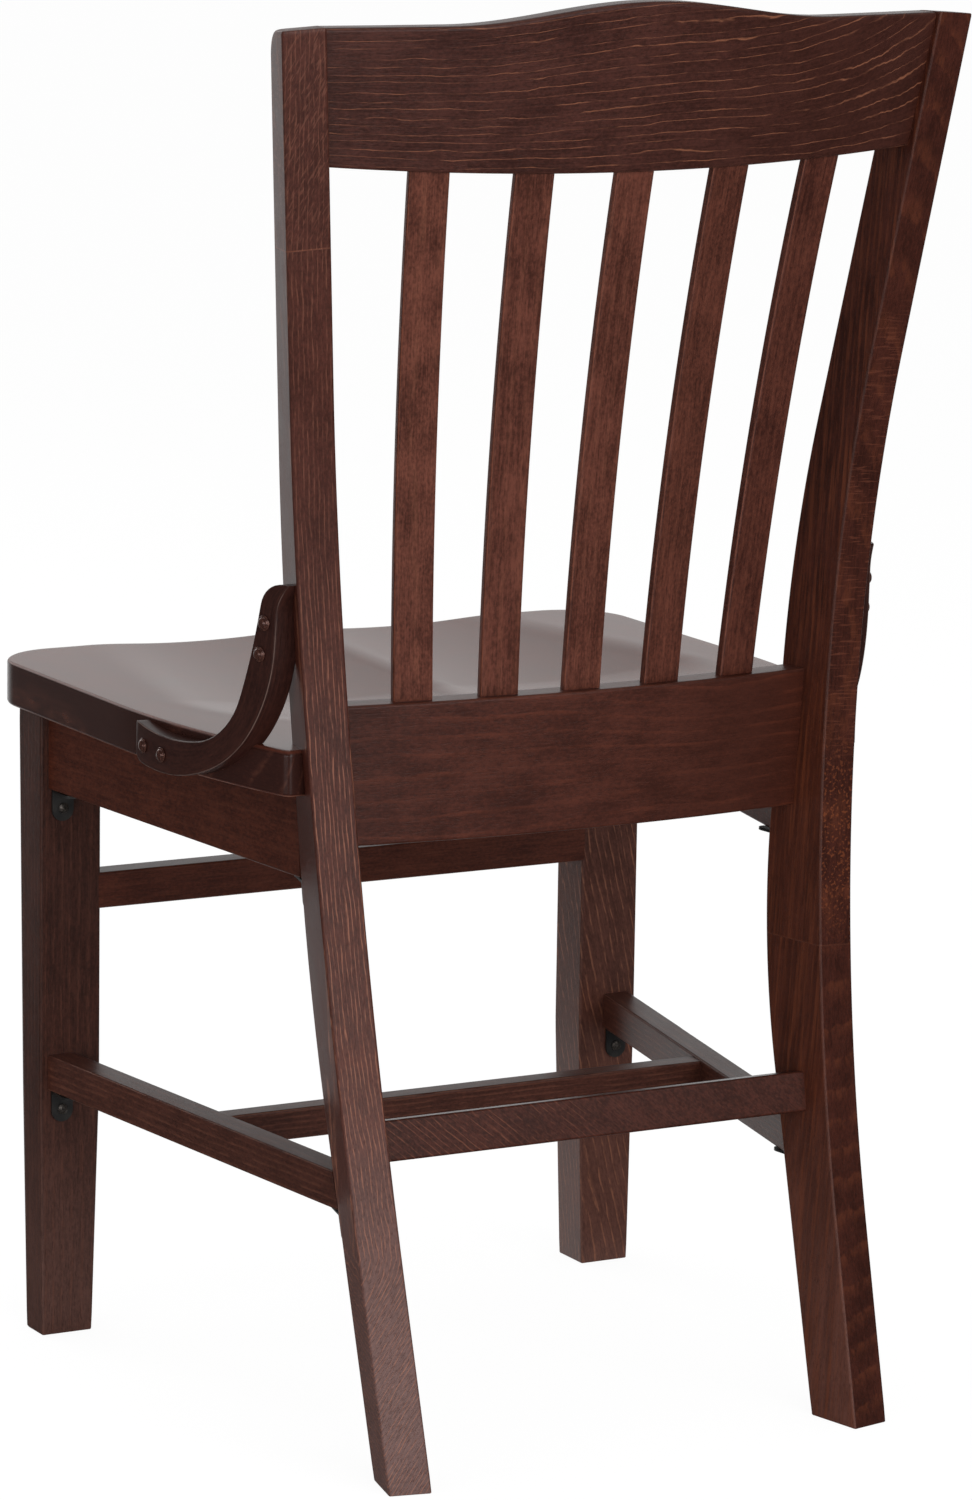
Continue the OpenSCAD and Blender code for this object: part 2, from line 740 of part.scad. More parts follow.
side_str_low = side_str_z - side_str_h;
side_str_r = edge_low(front_face_r, front_low_z, front_low_r, foot_front_rake, side_str_low)[0];
side_str_run = front_leg_y + leg_corner(side_str_low, side_str_r)[1];
side_str_turn = atan((apron_front_x - side_str_rear_x) / side_str_run);
module in_side_str() {
    in_rail(side_str_turn) translate([0, 0, side_str_z]) rotate([-side_str_pitch, 0, 0]) children();
}

module side_str_rear_tenon(grow = 0) {
    mid_x = -side_str_t / 2;
    intersection() {
        in_side_str()
            translate([mid_x - tenon_t / 2 - grow, side_str_run - past, -side_str_h + shoulder - grow])
            cube([tenon_t + 2 * grow, 2 * past, side_str_h - 2 * shoulder + 2 * grow]);
        in_leg() translate([0, tenon_l + grow, 0])
            side_slab(concat([[0, -past]], front_edge, [[0, front_up_z]]), -post_w, 0);
    }
}

module side_str_front_tenon(grow = 0) {
    mid_x = -side_str_t / 2;
    in_side_str() translate([mid_x - tenon_t / 2 - grow, -tenon_l - grow, -side_str_h + shoulder - grow])
        cube([tenon_t + 2 * grow, tenon_l + side_str_t, side_str_h - 2 * shoulder + 2 * grow]);
}

module side_str_blank() {
    difference() {
        in_side_str() translate([-side_str_t, -side_str_t, -side_str_h])
            cube([side_str_t, side_str_run + past, side_str_h]);
        behind_leg_front();
        translate([0, -front_leg_y - far, 0]) cube([far, far, far]);
    }
}

module side_stretcher() {
    color(wood) difference() {
        union() {
            side_str_blank();
            side_str_rear_tenon();
            side_str_front_tenon();
        }
        cross_tenon(glue_gap);
        front_bracket_shanks();
        rear_bracket_shanks();
    }
}

// Cross stretcher between the side stretchers

cross_run = cross_y + cross_t / 2 + front_leg_y;
cross_mid_x = apron_front_x - side_str_t - cross_run * tan(side_str_turn);
cross_top = side_str_z - cross_run * tan(side_str_pitch) - cross_drop;

module cross_tenon(grow = 0) {
    mid_y = cross_y + cross_t / 2;
    translate([cross_mid_x - past, mid_y - tenon_t / 2 - grow, cross_top - cross_h + shoulder - grow])
        cube([past + cross_tenon_l + grow, tenon_t + 2 * grow, cross_h - 2 * shoulder + 2 * grow]);
}

module cross_stretcher() {
    color(wood) {
        difference() {
            translate([-far / 2, cross_y, cross_top - cross_h]) cube([far, cross_t, cross_h]);
            both_sides() in_side_str() translate([-side_str_t, 0, -far]) cube([far, far, 2 * far]);
        }
        both_sides() cross_tenon();
    }
}

// Rear stretcher

module rear_str_tenon(grow = 0) {
    mid_z = rear_str_z + rear_str_h / 2;
    reach = rear_leg_out + mid_z * tan(leg_lean) - post_w;
    mid_y = rear_str_y - rear_str_t / 2;
    mid_x = (reach + mid_y * sin(leg_turn)) / cos(leg_turn);
    translate([mid_x - tenon_root, mid_y - tenon_t / 2 - grow, rear_str_z + shoulder - grow])
        cube([tenon_root + tenon_l + grow, tenon_t + 2 * grow, rear_str_h - 2 * shoulder + 2 * grow]);
}

module rear_stretcher() {
    color(wood) {
        difference() {
            translate([-far / 2, rear_str_y - rear_str_t, rear_str_z]) cube([far, rear_str_t, rear_str_h]);
            both_sides() outside_leg_inner();
        }
        both_sides() rear_str_tenon();
    }
}

// Hip brace, seen from the side as a bent band

// Points of a run of arcs from a start with a level heading, each arc as [radius, sweep]
function arc_end(start, from, arc) = [start[0] + arc[0] * (sin(from + arc[1]) - sin(from)),
    start[1] + arc[0] * (cos(from) - cos(from + arc[1]))];
function arc_run(start, from, arcs, i = 0) = i == len(arcs) ? [] : concat(
    [for (k = [1:bend_steps]) arc_end(start, from, [arcs[i][0], arcs[i][1] * k / bend_steps])],
    arc_run(arc_end(start, from, arcs[i]), from + arcs[i][1], arcs, i + 1)
);
function last(list) = list[len(list) - 1];

brace_low_y = brace_y + brace_low_run;
front_sweep = asin((brace_low_run - brace_toe) / brace_front_r);
under_arcs = [
    [brace_under_r, brace_under_sweep],
    [brace_heel_r, brace_heel_sweep],
    [brace_rear_r, brace_rear_sweep]
];
upper_arcs = [
    [brace_top_r, brace_top_sweep],
    [brace_throat_r, brace_throat_sweep],
    [brace_nose_r, brace_nose_sweep]
];
under_end_rake = brace_under_sweep + brace_heel_sweep + brace_rear_sweep;
upper_end_rake = brace_top_sweep + brace_throat_sweep + brace_nose_sweep;
under_bend = arc_run([brace_low_y, brace_z], 0, under_arcs);
upper_low = [brace_low_y + brace_upper_shift, brace_z + brace_w];
upper_bend = arc_run(upper_low, 0, upper_arcs);
brace_front_z = brace_z + brace_front_r * (1 - cos(front_sweep));
upper_sweep = asin((upper_low[0] - brace_y) / brace_front_r);
flare_z = brace_top_z - brace_flare_h;
flare_y = last(under_bend)[0] + (flare_z - last(under_bend)[1]) / tan(under_end_rake);
round_mid_y = last(upper_bend)[0] + (brace_top_z - brace_round - last(upper_bend)[1]) / tan(upper_end_rake)
    + brace_round / sin(upper_end_rake);

brace_view = concat(
    [[brace_low_y, brace_z]],
    under_bend,
    [[flare_y, flare_z], [flare_y + brace_flare / 3, flare_z + brace_flare_h / 2]],
    [[flare_y + brace_flare, brace_top_z]],
    [for (i = [0:bend_steps]) let (a = 90 + upper_end_rake * i / bend_steps)
        [round_mid_y + brace_round * cos(a), brace_top_z - brace_round + brace_round * sin(a)]],
    backwards(upper_bend),
    [for (i = [0:bend_steps]) let (a = upper_sweep * i / bend_steps)
        [upper_low[0] - brace_front_r * sin(a), upper_low[1] + brace_front_r * (1 - cos(a))]],
    [for (i = [0:bend_steps]) let (a = 180 + (90 - front_sweep) * i / bend_steps)
        [brace_y + brace_toe + brace_toe * cos(a), brace_front_z + brace_toe + brace_toe * sin(a)]]
);

// Outer face of the brace in plan
brace_out = seat_w / 2 + brace_stand;
brace_run = last(under_bend)[0] - brace_y;
brace_draw = brace_out - brace_over_post - leg_side_x(last(under_bend)[0], brace_top_z);
function brace_x(y) = let (t = (y - brace_y) / brace_run) brace_out - brace_draw * t * t;
brace_plan_step = brace_run / bend_steps;
brace_plan_out = [for (i = [-2:bend_steps + 3]) let (y = brace_y + brace_plan_step * i) [brace_x(y), y]];
brace_plan_in = [for (p = backwards(brace_plan_out)) [p[0] - brace_t, p[1]]];

module brace_blank() {
    intersection() {
        side_slab(brace_view, 0, brace_out + past);
        linear_extrude(post_len) polygon(concat(brace_plan_out, brace_plan_in));
    }
}

module hip_brace() {
    color(wood) difference() {
        brace_blank();
        linear_extrude(seat_z + seat_t + seat_gap) polygon(seat_outline);
        in_leg() side_slab([[0, 0], [far, 0], [far, post_len], [0, post_len]], -far, 0);
        brace_holes(post_screw_places);
        brace_holes(seat_screw_places);
    }
}

// Domed screws of the hip braces: two in the seat's edge and two in the post

// Places of the screws as [depth, height]
first_seat_screw = [brace_y + seat_dome_in, brace_z + seat_dome_up];
first_post_screw = [last(upper_bend)[0] + post_dome_in, brace_top_z - post_dome_down];
seat_screw_places = [first_seat_screw, first_seat_screw + [seat_dome_pitch, -seat_dome_fall]];
post_screw_places = [first_post_screw, first_post_screw - [post_dome_shift, post_dome_pitch]];

// A domed screw at a place of the brace's outer face, its shank pointing inwards
module at_brace(place) {
    step = brace_plan_step;
    turn = atan((brace_x(place[0] - step) - brace_x(place[0] + step)) / 2 / step);
    translate([brace_x(place[0]), place[0], place[1]]) rotate([0, 0, turn]) rotate([0, 90, 0]) children();
}

// The holes of a list of screws
module brace_holes(places) {
    for (p = places) at_brace(p) translate([0, 0, -brace_screw_l])
        cylinder(h = brace_screw_l + poke, d = brace_screw_d);
}

module domed_screw() {
    ball = (dome_d * dome_d / 4 + dome_h * dome_h) / 2 / dome_h;
    translate([0, 0, -brace_screw_l]) cylinder(h = brace_screw_l + dome_h / 2, d = brace_screw_d);
    intersection() {
        translate([0, 0, dome_seat + dome_h - ball]) sphere(ball);
        translate([0, 0, dome_seat]) cylinder(h = dome_h, d = 2 * dome_d);
    }
}

module brace_screws() {
    color(copper) both_sides()
        for (p = concat(seat_screw_places, post_screw_places)) at_brace(p) domed_screw();
}

// Black corner brackets: a tab on the leg and a foot under the rail, in the frame of the bend
// Here x is across, y points along the rail away from the leg, and z points up

// Swings its children about the bend, to follow a leg that isn't square to the rail
module on_tab(open) rotate([-open, 0, 0]) children();

module bracket_plate(open) {
    flat = bracket_tab - bracket_w / 2;
    reach = bracket_foot - bracket_w / 2;
    difference() {
        union() {
            on_tab(open) {
                translate([-bracket_w / 2, 0, -flat]) cube([bracket_w, bracket_t, flat - bracket_t / 2]);
                translate([0, bracket_t, -flat]) rotate([90, 0, 0]) cylinder(h = bracket_t, d = bracket_w);
            }
            translate([-bracket_w / 2, 0, -bracket_t]) cube([bracket_w, reach, bracket_t]);
            translate([0, reach, -bracket_t]) cylinder(h = bracket_t, d = bracket_w);
        }
        bracket_shanks(open);
    }
}

// The two screw shanks of a bracket: one into the leg, one up into the rail
module bracket_shanks(open) {
    reach = bracket_screw_l + poke;
    on_tab(open) translate([0, bracket_t + poke, -bracket_hole]) rotate([90, 0, 0])
        cylinder(h = reach, d = bracket_screw_d);
    translate([0, bracket_hole, -bracket_t - poke]) cylinder(h = reach, d = bracket_screw_d);
}

module bracket_screw_pair(open) {
    on_tab(open) translate([0, bracket_t, -bracket_hole]) rotate([-90, 0, 0]) pan_screw();
    translate([0, bracket_hole, -bracket_t]) rotate([180, 0, 0]) pan_screw();
}

// A pan-headed screw whose head sits on z = 0, with its shank below
module pan_screw() {
    translate([0, 0, -bracket_screw_l]) cylinder(h = bracket_screw_l, d = bracket_screw_d);
    intersection() {
        cylinder(h = pan_h, d = pan_d);
        translate([0, 0, pan_h - pan_d]) sphere(pan_d);
    }
}

apron_fall = atan((apron_rear_h - apron_h) / apron_run);
str_rear_z = side_str_z - side_str_h - side_str_run * tan(side_str_pitch);
str_rear_r = edge_low(front_face_r, front_low_z, front_low_r, foot_front_rake, str_rear_z)[0];
apron_open = asin((front_low_z - seat_z + apron_rear_h + bracket_tab / 2) / front_low_r) + apron_fall;
str_open = foot_front_rake + side_str_pitch;
apron_front_open = -apron_fall;
str_front_open = -side_str_pitch;

// Puts a bracket's frame at the left front leg, under a rail of a thickness, height of underside and slope
module at_front(z, t, turn, fall) {
    translate([apron_front_x - t / 2 / cos(turn), bracket_seat - front_leg_y, z - bracket_seat])
        rotate([-fall, 0, 0]) children();
}
module at_apron_front() at_front(seat_z - apron_h, apron_t, apron_turn, apron_fall) children();
module at_str_front() at_front(side_str_low, side_str_t, side_str_turn, side_str_pitch) children();

// Puts a bracket's frame on the left rear leg's front face, at a depth and height
module at_rear(t, r, z, fall) {
    in_leg() translate([-t / 2, r - bracket_seat, z]) rotate([fall, 0, 0]) rotate([0, 0, 180]) children();
}
module at_apron_rear() {
    at_rear(apron_t, front_face_r, seat_z - apron_rear_h - bracket_drop, -apron_fall) children();
}
module at_str_rear() at_rear(side_str_t, str_rear_r, str_rear_z - bracket_drop, -side_str_pitch) children();

module front_bracket_shanks() {
    at_apron_front() bracket_shanks(apron_front_open);
    at_str_front() bracket_shanks(str_front_open);
}
module rear_bracket_shanks() {
    at_apron_rear() bracket_shanks(apron_open);
    at_str_rear() bracket_shanks(str_open);
}
module bracket_screws() {
    color(black) both_sides() {
        at_apron_front() bracket_screw_pair(apron_front_open);
        at_str_front() bracket_screw_pair(str_front_open);
        at_apron_rear() bracket_screw_pair(apron_open);
        at_str_rear() bracket_screw_pair(str_open);
    }
}
module apron_bracket_front() color(black) at_apron_front() bracket_plate(apron_front_open);
module apron_bracket_rear() color(black) at_apron_rear() bracket_plate(apron_open);
module stretcher_bracket_front() color(black) at_str_front() bracket_plate(str_front_open);
module stretcher_bracket_rear() color(black) at_str_rear() bracket_plate(str_open);

// Corner blocks under the seat, and the seat's screws

front_block_x = half - front_leg_w;
front_block_y = front_mid_y + apron_t / 2;

module corner_block_front() {
    color(wood_light) difference() {
        translate([0, 0, seat_z - block_h]) linear_extrude(block_h)
            polygon([[front_block_x - block_leg, front_block_y], [far, front_block_y],
                [far, -front_leg_y + block_leg], [front_block_x, -front_leg_y + block_leg]]);
        in_rail(apron_turn) translate([-apron_t, -far / 2, 0]) cube([far, far, far + seat_z]);
        translate([front_block_x, -front_leg_y - far, 0]) cube([far, far, far + seat_z]);
        seat_screw_shanks();
    }
}

module corner_block_rear() {
    corner = [rear_block_x, rear_block_y];
    side = block_leg / 2;
    color(wood_light) difference() {
        translate([0, 0, seat_z - block_h]) linear_extrude(block_h)
            polygon([[corner[0] - side, rail_y], [corner[0] - side, corner[1] + side],
                [corner[0] + side, corner[1] - side], [far, corner[1] - side], [far, rail_y]]);
        in_rail(apron_turn) translate([-apron_t, -far / 2, 0]) cube([far, 2 * far, far + seat_z]);
        behind_rail();
        behind_leg_front();
        seat_screw_shanks();
    }
}

screw_places = [
    [front_block_x - front_screw_in, front_screw_back - front_leg_y],
    [rear_block_x + rear_screw_out, rear_block_y + rear_screw_back]
];
module seat_screw_shanks() {
    for (p = screw_places) translate([p[0], p[1], seat_z - block_h - poke])
        cylinder(h = block_h + poke + seat_bite, d = seat_screw_d);
}
module seat_screws() {
    color(black) both_sides() for (p = screw_places) translate([p[0], p[1], seat_z - block_h]) {
        cylinder(h = block_h + seat_bite, d = seat_screw_d);
        translate([0, 0, -seat_head_h]) cylinder(h = seat_head_h, d = seat_head_d);
    }
}

placed() rear_leg();  // rear_leg_left
placed() other_side() rear_leg();  // rear_leg_right
placed() front_leg();  // front_leg_left
placed() other_side() front_leg();  // front_leg_right
placed() crest_rail();
placed() back_slat(0);  // back_slat_1
placed() back_slat(1);  // back_slat_2
placed() back_slat(2);  // back_slat_3
placed() back_slat(3);  // back_slat_4
placed() back_slat(4);  // back_slat_5
placed() rear_seat_rail();
placed() seat();
placed() side_apron();  // side_apron_left
placed() other_side() side_apron();  // side_apron_right
placed() front_apron();
placed() front_bar();
placed() side_stretcher();  // side_stretcher_left
placed() other_side() side_stretcher();  // side_stretcher_right
placed() cross_stretcher();
placed() rear_stretcher();
placed() hip_brace();  // hip_brace_left
placed() other_side() hip_brace();  // hip_brace_right
placed() brace_screws();
placed() apron_bracket_front();  // apron_bracket_front_left
placed() other_side() apron_bracket_front();  // apron_bracket_front_right
placed() apron_bracket_rear();  // apron_bracket_rear_left
placed() other_side() apron_bracket_rear();  // apron_bracket_rear_right
placed() stretcher_bracket_front();  // stretcher_bracket_front_left
placed() other_side() stretcher_bracket_front();  // stretcher_bracket_front_right
placed() stretcher_bracket_rear();  // stretcher_bracket_rear_left
placed() other_side() stretcher_bracket_rear();  // stretcher_bracket_rear_right
placed() bracket_screws();
placed() corner_block_front();  // corner_block_front_left
placed() other_side() corner_block_front();  // corner_block_front_right
placed() corner_block_rear();  // corner_block_rear_left
placed() other_side() corner_block_rear();  // corner_block_rear_right
placed() seat_screws();
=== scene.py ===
import math

import bmesh
import bpy
import numpy as np
from mathutils import Matrix, Vector


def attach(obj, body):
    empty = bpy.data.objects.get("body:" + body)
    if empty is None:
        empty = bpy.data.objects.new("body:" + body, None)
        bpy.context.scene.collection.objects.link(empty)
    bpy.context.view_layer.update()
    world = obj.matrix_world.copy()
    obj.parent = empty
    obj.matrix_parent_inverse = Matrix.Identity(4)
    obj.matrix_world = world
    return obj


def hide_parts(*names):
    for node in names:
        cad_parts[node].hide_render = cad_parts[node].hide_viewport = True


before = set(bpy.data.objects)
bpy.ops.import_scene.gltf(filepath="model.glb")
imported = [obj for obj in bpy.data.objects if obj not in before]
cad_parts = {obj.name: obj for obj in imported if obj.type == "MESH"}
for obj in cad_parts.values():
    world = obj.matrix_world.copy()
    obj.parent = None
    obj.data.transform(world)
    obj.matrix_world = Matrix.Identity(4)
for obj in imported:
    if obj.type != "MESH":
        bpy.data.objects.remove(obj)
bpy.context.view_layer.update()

# Rear legs: foot and back post in one curve, turned and leaned to follow the bowed back, with
# eased arrises and a fuller round on the outer front corner. The beech is stained dark and
# lacquered satin, and the finish draws the finger joint where two lengths of it meet.
MM = 0.001
CENTRE_Y = 15.5
LEG_TURN, LEG_LEAN = math.radians(12), math.radians(4.4)
LEG_OUT = 121.5
LEG_WIDTH = 27.5
LEG_TOP = 887
TOP_ROUND = 20
FLAT_FOOT = 200
FRONT_EDGE = dict(depth=162.8, low=375, high=470, low_r=600, high_r=900, low_rake=15.6, high_rake=10.2)
BACK_EDGE = dict(depth=205.4, low=490, high=490, low_r=1440, high_r=1100, low_rake=14.7, high_rake=9.6)
ARRIS, LEG_CORNER, LEG_EASE = 1.6, 8, 1.2
CORNER_WEAR_AND_LIGHT = (0, 0.7, 1, 0.7, 0)
LEG_PITH, RIGHT_SHIFT = (400, -190), (320, -380)
FOOT_FIGURE, FOOT_SLANT, SLANT_EASE = 140, 0.9, 12
WOOD_IOR = 1.28
GRAIN_DEPTH = 0.00005
FIBRES, SPECKS, PORES, CLOUDS = (900, 900, 40), (620, 620, 380), (1200, 1200, 170), (48, 48, 26)
JOINT_TINT = (136, 82, 60)
JOINT_SHIFT = (0.0113, 0.02)
FLECK_FADE = 0.03


class Value:
    """An output of a shader node; arithmetic on it adds Math nodes."""

    def __init__(self, finish, socket):
        self.finish = finish
        self.socket = socket

    def maths(self, operation, *terms):
        return self.finish.node("Math", {"operation": operation}, dict(enumerate(terms)))

    def __add__(self, other):
        return self.maths("ADD", self, other)

    __radd__ = __add__

    def __sub__(self, other):
        return self.maths("SUBTRACT", self, other)

    def __rsub__(self, other):
        return self.maths("SUBTRACT", other, self)

    def __mul__(self, other):
        return self.maths("MULTIPLY", self, other)

    def __truediv__(self, other):
        return self.maths("DIVIDE", self, other)


class Finish:
    """The nodes of a material, or of the world, in the making."""

    def __init__(self, owner):
        owner.use_nodes = True
        self.owner = owner
        self.tree = owner.node_tree
        self.tree.nodes.clear()

    def node(self, kind, settings=None, inputs=None, output=0):
        """Adds a node, sets and links its inputs, and gives one of its outputs as a Value."""
        made = self.tree.nodes.new("ShaderNode" + kind)
        for key, value in (settings or {}).items():
            setattr(made, key, value)
        for key, value in (inputs or {}).items():
            if isinstance(value, Value):
                self.tree.links.new(value.socket, made.inputs[key])
            else:
                made.inputs[key].default_value = value
        return Value(self, made.outputs[output]) if made.outputs else None

    def vector(self, operation, *terms, output=0):
        return self.node("VectorMath", {"operation": operation}, dict(enumerate(terms)), output)

    def part(self, vector, axis):
        return self.node("SeparateXYZ", None, {0: vector}, axis)

    def blend(self, mask, under, over):
        return self.node("Mix", {"data_type": "RGBA"}, {0: mask, 6: under, 7: over}, 2)

    def noise(self, place, cycles, detail, roughness=0.5):
        """Cloudy noise between 0 and 1, with so many cycles to the metre on each axis."""
        place = self.vector("MULTIPLY", place, cycles)
        return self.node("TexNoise", None,
                         {"Vector": place, "Scale": 1.0, "Detail": detail, "Roughness": roughness})

    def rise(self, value, low, high):
        """A smooth step from 0 at low to 1 at high, which may also be the smaller of the two."""
        return self.node("MapRange", {"interpolation_type": "SMOOTHSTEP"},
                         {"Value": value, "From Min": low, "From Max": high})

    def surface(self, colour, roughness, height, depth, **sockets):
        bump = self.node("Bump", None, {"Height": height, "Strength": 1.0, "Distance": depth})
        shader = self.node("BsdfPrincipled", None,
                           {"Base Color": colour, "Roughness": roughness, "Normal": bump, **sockets})
        self.node("OutputMaterial", None, {"Surface": shader})
        return self


def tint(red, green, blue):
    """A colour as it shows on a screen, 0 to 255, in the linear values that a shader takes."""
    shown = [c / 255 for c in (red, green, blue)]
    return tuple(c / 12.92 if c < 0.04045 else ((c + 0.055) / 1.055) ** 2.4 for c in shown) + (1.0,)


def growth_lines(wood, grain, pitch, line_width, wander, wobble, uneven):
    """1 on the line of each growth ring, a circle round the grain's third axis. The rings lie
    a pitch apart; wander and wobble bend them, slowly and quickly, and uneven spaces them out."""
    across, into = wood.part(grain, 0), wood.part(grain, 1)
    slow = wood.noise(grain, (9, 9, 4), 1.0) - 0.5
    quick = wood.noise(grain, (110, 110, 38), 2.0) - 0.5
    radius = wood.node("Math", {"operation": "SQRT"}, {0: across * across + into * into})
    radius = radius + slow * wander + quick * wobble
    if uneven:
        radius = radius + (wood.noise(grain, (150, 150, 2), 2.0) - 0.5) * uneven
    ring = wood.node("Math", {"operation": "FRACT"}, {0: radius / pitch})
    lead = min(0.10, line_width)
    return wood.rise(ring, 0.0, lead) * (1 - wood.rise(ring, lead, lead + line_width))


def stained(name, dark, mid, light, pitch, line=0.5, line_width=0.35, wander=0.004, wobble=0.0016,
            uneven=0.0, mottle=0.30, streak=0.35, pores=0.40, arris=0.12, arris_tint=(132, 92, 76),
            sheen=0.36, relief=1.0, breaks=(150, 150, 55), fade=None, painted_shading=(), flecks=(),
            bands=None, side_shade=None, joint=None, seam=0.5):
    """Stained beech under satin lacquer, from dark, mid and light tints, the last for its lines.

    Its lengths are in metres. The grain attribute says how far a point lies across, into and
    along the board, measured from the pith. The wear_and_light attribute is 1 on the arrises,
    which turn towards arris_tint by the share arris: a light tint is stain rubbed thin there
    with a painted highlight, and a dark one is painted shade.
    line is the strength of the growth lines and breaks how finely they are broken. fade (start,
    end, least) weakens them along the board. mottle and streak are the shares of clouds and of
    fibres in the stain, and pores is the strength of its pores.
    painted_shading are (start, end, strength, tint): from one length to another the colour turns
    towards a tint, as painted light and shade, such as lighter, greyer feet for light from the
    floor and sheen, and a darker end in the shade of a post.
    flecks are (low, high, strength, tint, slant, cycles): ray flecks between two lengths.
    bands (depth, strength, tint) are lengthwise stripes on the face that lies below a depth,
    which alone takes the painted shading, has no flecks and is darkened in patches of painted
    shade. side_shade (strength, tint) darkens upright faces, as painted shade. relief scales how
    far the grain stands up under the lacquer.
    joint is the length at which a finger joint, whose line shows by the share seam, starts a
    new piece of wood."""
    dark, mid, light = tint(*dark), tint(*mid), tint(*light)
    wood = Finish(bpy.data.materials.new(name))
    grain = wood.node("Attribute", {"attribute_name": "grain"}, None, "Vector")
    along = wood.part(grain, 2)
    outside, inside = 1.0, 1.0
    if bands:
        band_depth, band_strength, band_tint = bands
        outside = wood.rise(wood.part(grain, 1), band_depth, band_depth + 0.0012)
        inside = 1 - outside
    if joint:
        new_length = wood.rise(along, joint - 0.0002, joint + 0.0002)
        shift = wood.node("CombineXYZ", None, {axis: new_length * JOINT_SHIFT[axis] for axis in (0, 1)})
        grain = wood.vector("ADD", grain, shift)
    lines = growth_lines(wood, grain, pitch, line_width, wander, wobble, uneven)
    present = wood.rise(wood.noise(grain, breaks, 3.0, 0.7), 0.36, 0.62) * line
    if fade:
        start, end, least = fade
        present = present * (1 - wood.rise(along, start, end) * (1 - least))
    fibre = wood.noise(grain, FIBRES, 3.0, 0.7)
    speck = wood.noise(grain, SPECKS, 2.0, 0.6)
    pore = wood.rise(wood.noise(grain, PORES, 2.0, 0.5), 0.54, 0.68)
    cloud = wood.noise(grain, CLOUDS, 3.0, 0.6)
    tone = wood.rise(cloud * mottle + fibre * streak + speck * (1 - mottle - streak), 0.36, 0.64)
    stain = wood.blend(tone, dark, mid)
    # Painted light and shade along the board, on the inner face alone where there are bands.
    for start, end, strength, shade in painted_shading:
        shading_mask = wood.rise(along, start, end) * (0.6 + tone * 0.4) * inside * strength
        stain = wood.blend(shading_mask, stain, tint(*shade))
    if bands:
        # Dark patches on the inner face are painted shade; the stripes are its figure.
        inner_shade = wood.rise(wood.noise(grain, (80, 80, 5), 2.0), 0.46, 0.62) * inside
        stripes = wood.rise(wood.noise(grain, (330, 330, 14), 3.0), 0.48, 0.70) * inside
        stain = wood.blend(inner_shade * 0.35, stain, dark)
        stain = wood.blend(stripes * band_strength, stain, tint(*band_tint))
    # Upright faces darkened by their slope: painted shade.
    if side_shade:
        strength, shade = side_shade
        tilt = wood.part(wood.node("NewGeometry", None, None, "Normal"), 2)
        stain = wood.blend(wood.rise(tilt * tilt, 0.5, 0.1) * strength, stain, tint(*shade))
    stain = wood.blend(lines * present, stain, light)
    stain = wood.blend(pore * pores, stain, dark)
    for low, high, strength, shade, slant, cycles in flecks:
        begun = wood.rise(along, low - FLECK_FADE, low + FLECK_FADE)
        not_over = wood.rise(along, high + FLECK_FADE, high - FLECK_FADE)
        lean = wood.node("CombineXYZ", None, {2: wood.part(grain, 0) * slant})
        ticks = wood.rise(wood.noise(wood.vector("ADD", grain, lean), cycles, 1.0), 0.55, 0.67)
        stain = wood.blend(ticks * (begun * not_over * outside) * strength, stain, tint(*shade))
    if joint:
        cut = new_length * (1 - wood.rise(along, joint + 0.0006, joint + 0.0010))
        stain = wood.blend(cut * (0.4 + present) * seam, stain, tint(*JOINT_TINT))
    # A light arris tint is stain rubbed thin with a painted highlight; a dark one is painted shade.
    wear_and_light = wood.node("Attribute", {"attribute_name": "wear_and_light"}, None, "Fac")
    patchy = wood.rise(wood.noise(grain, (60, 60, 60), 2.0), 0.25, 0.6)
    stain = wood.blend(wood.rise(wear_and_light, 0.75, 1.0) * patchy * arris, stain, tint(*arris_tint))
    roughness = sheen + ((fibre - 0.5) * 0.14 + (cloud - 0.5) * 0.10) * relief + wear_and_light * 0.12
    height = fibre * 0.5 + lines * 0.2 - pore * 0.8
    return wood.surface(stain, roughness, height, GRAIN_DEPTH * relief, IOR=WOOD_IOR)


def corners(a_low, a_high, b_low, b_high, radii, inset):
    """The outline of a rounded rectangle as (a, b) points, moved inwards by an inset. Its corner
    radii go anticlockwise, from the corner where both a and b are high."""
    outline = []
    steps = len(CORNER_WEAR_AND_LIGHT) - 1
    places = ((a_high, b_high, 1, 1), (a_low, b_high, -1, 1), (a_low, b_low, -1, -1), (a_high, b_low, 1, -1))
    for turn, ((a, b, out_a, out_b), radius) in enumerate(zip(places, radii)):
        radius = max(radius - inset, 0.05)
        mid_a, mid_b = a - out_a * (inset + radius), b - out_b * (inset + radius)
        for k in range(steps + 1):
            angle = (turn + k / steps) * math.pi / 2
            outline.append((mid_a + radius * math.cos(angle), mid_b + radius * math.sin(angle)))
    return np.array(outline)


def loft(stations, outline, place, ease, pith=(0, 0), along=0.0):
    """Rings of points through a board's stations, with its two ends eased, and their grain.
    outline(s, inset) gives a ring's (a, b) points and place(s, a, b) puts them into space."""
    quarter = [math.radians(a) for a in (0, 30, 60)]
    first, last = stations[0], stations[-1]
    runs = [(first + ease * (1 - math.cos(a)), ease * (1 - math.sin(a))) for a in quarter]
    runs += [(s, 0.0) for s in stations if first + ease <= s <= last - ease]
    runs += [(last - ease * (1 - math.cos(a)), ease * (1 - math.sin(a))) for a in reversed(quarter)]
    rings, grain = [], []
    for s, inset in runs:
        a, b = outline(s, inset).T
        rings.append(np.stack(place(s, a, b), axis=1))
        grain.append(np.stack([a + pith[0], b + pith[1], np.full(len(a), s + along)], axis=1))
    return np.array(rings), np.array(grain)


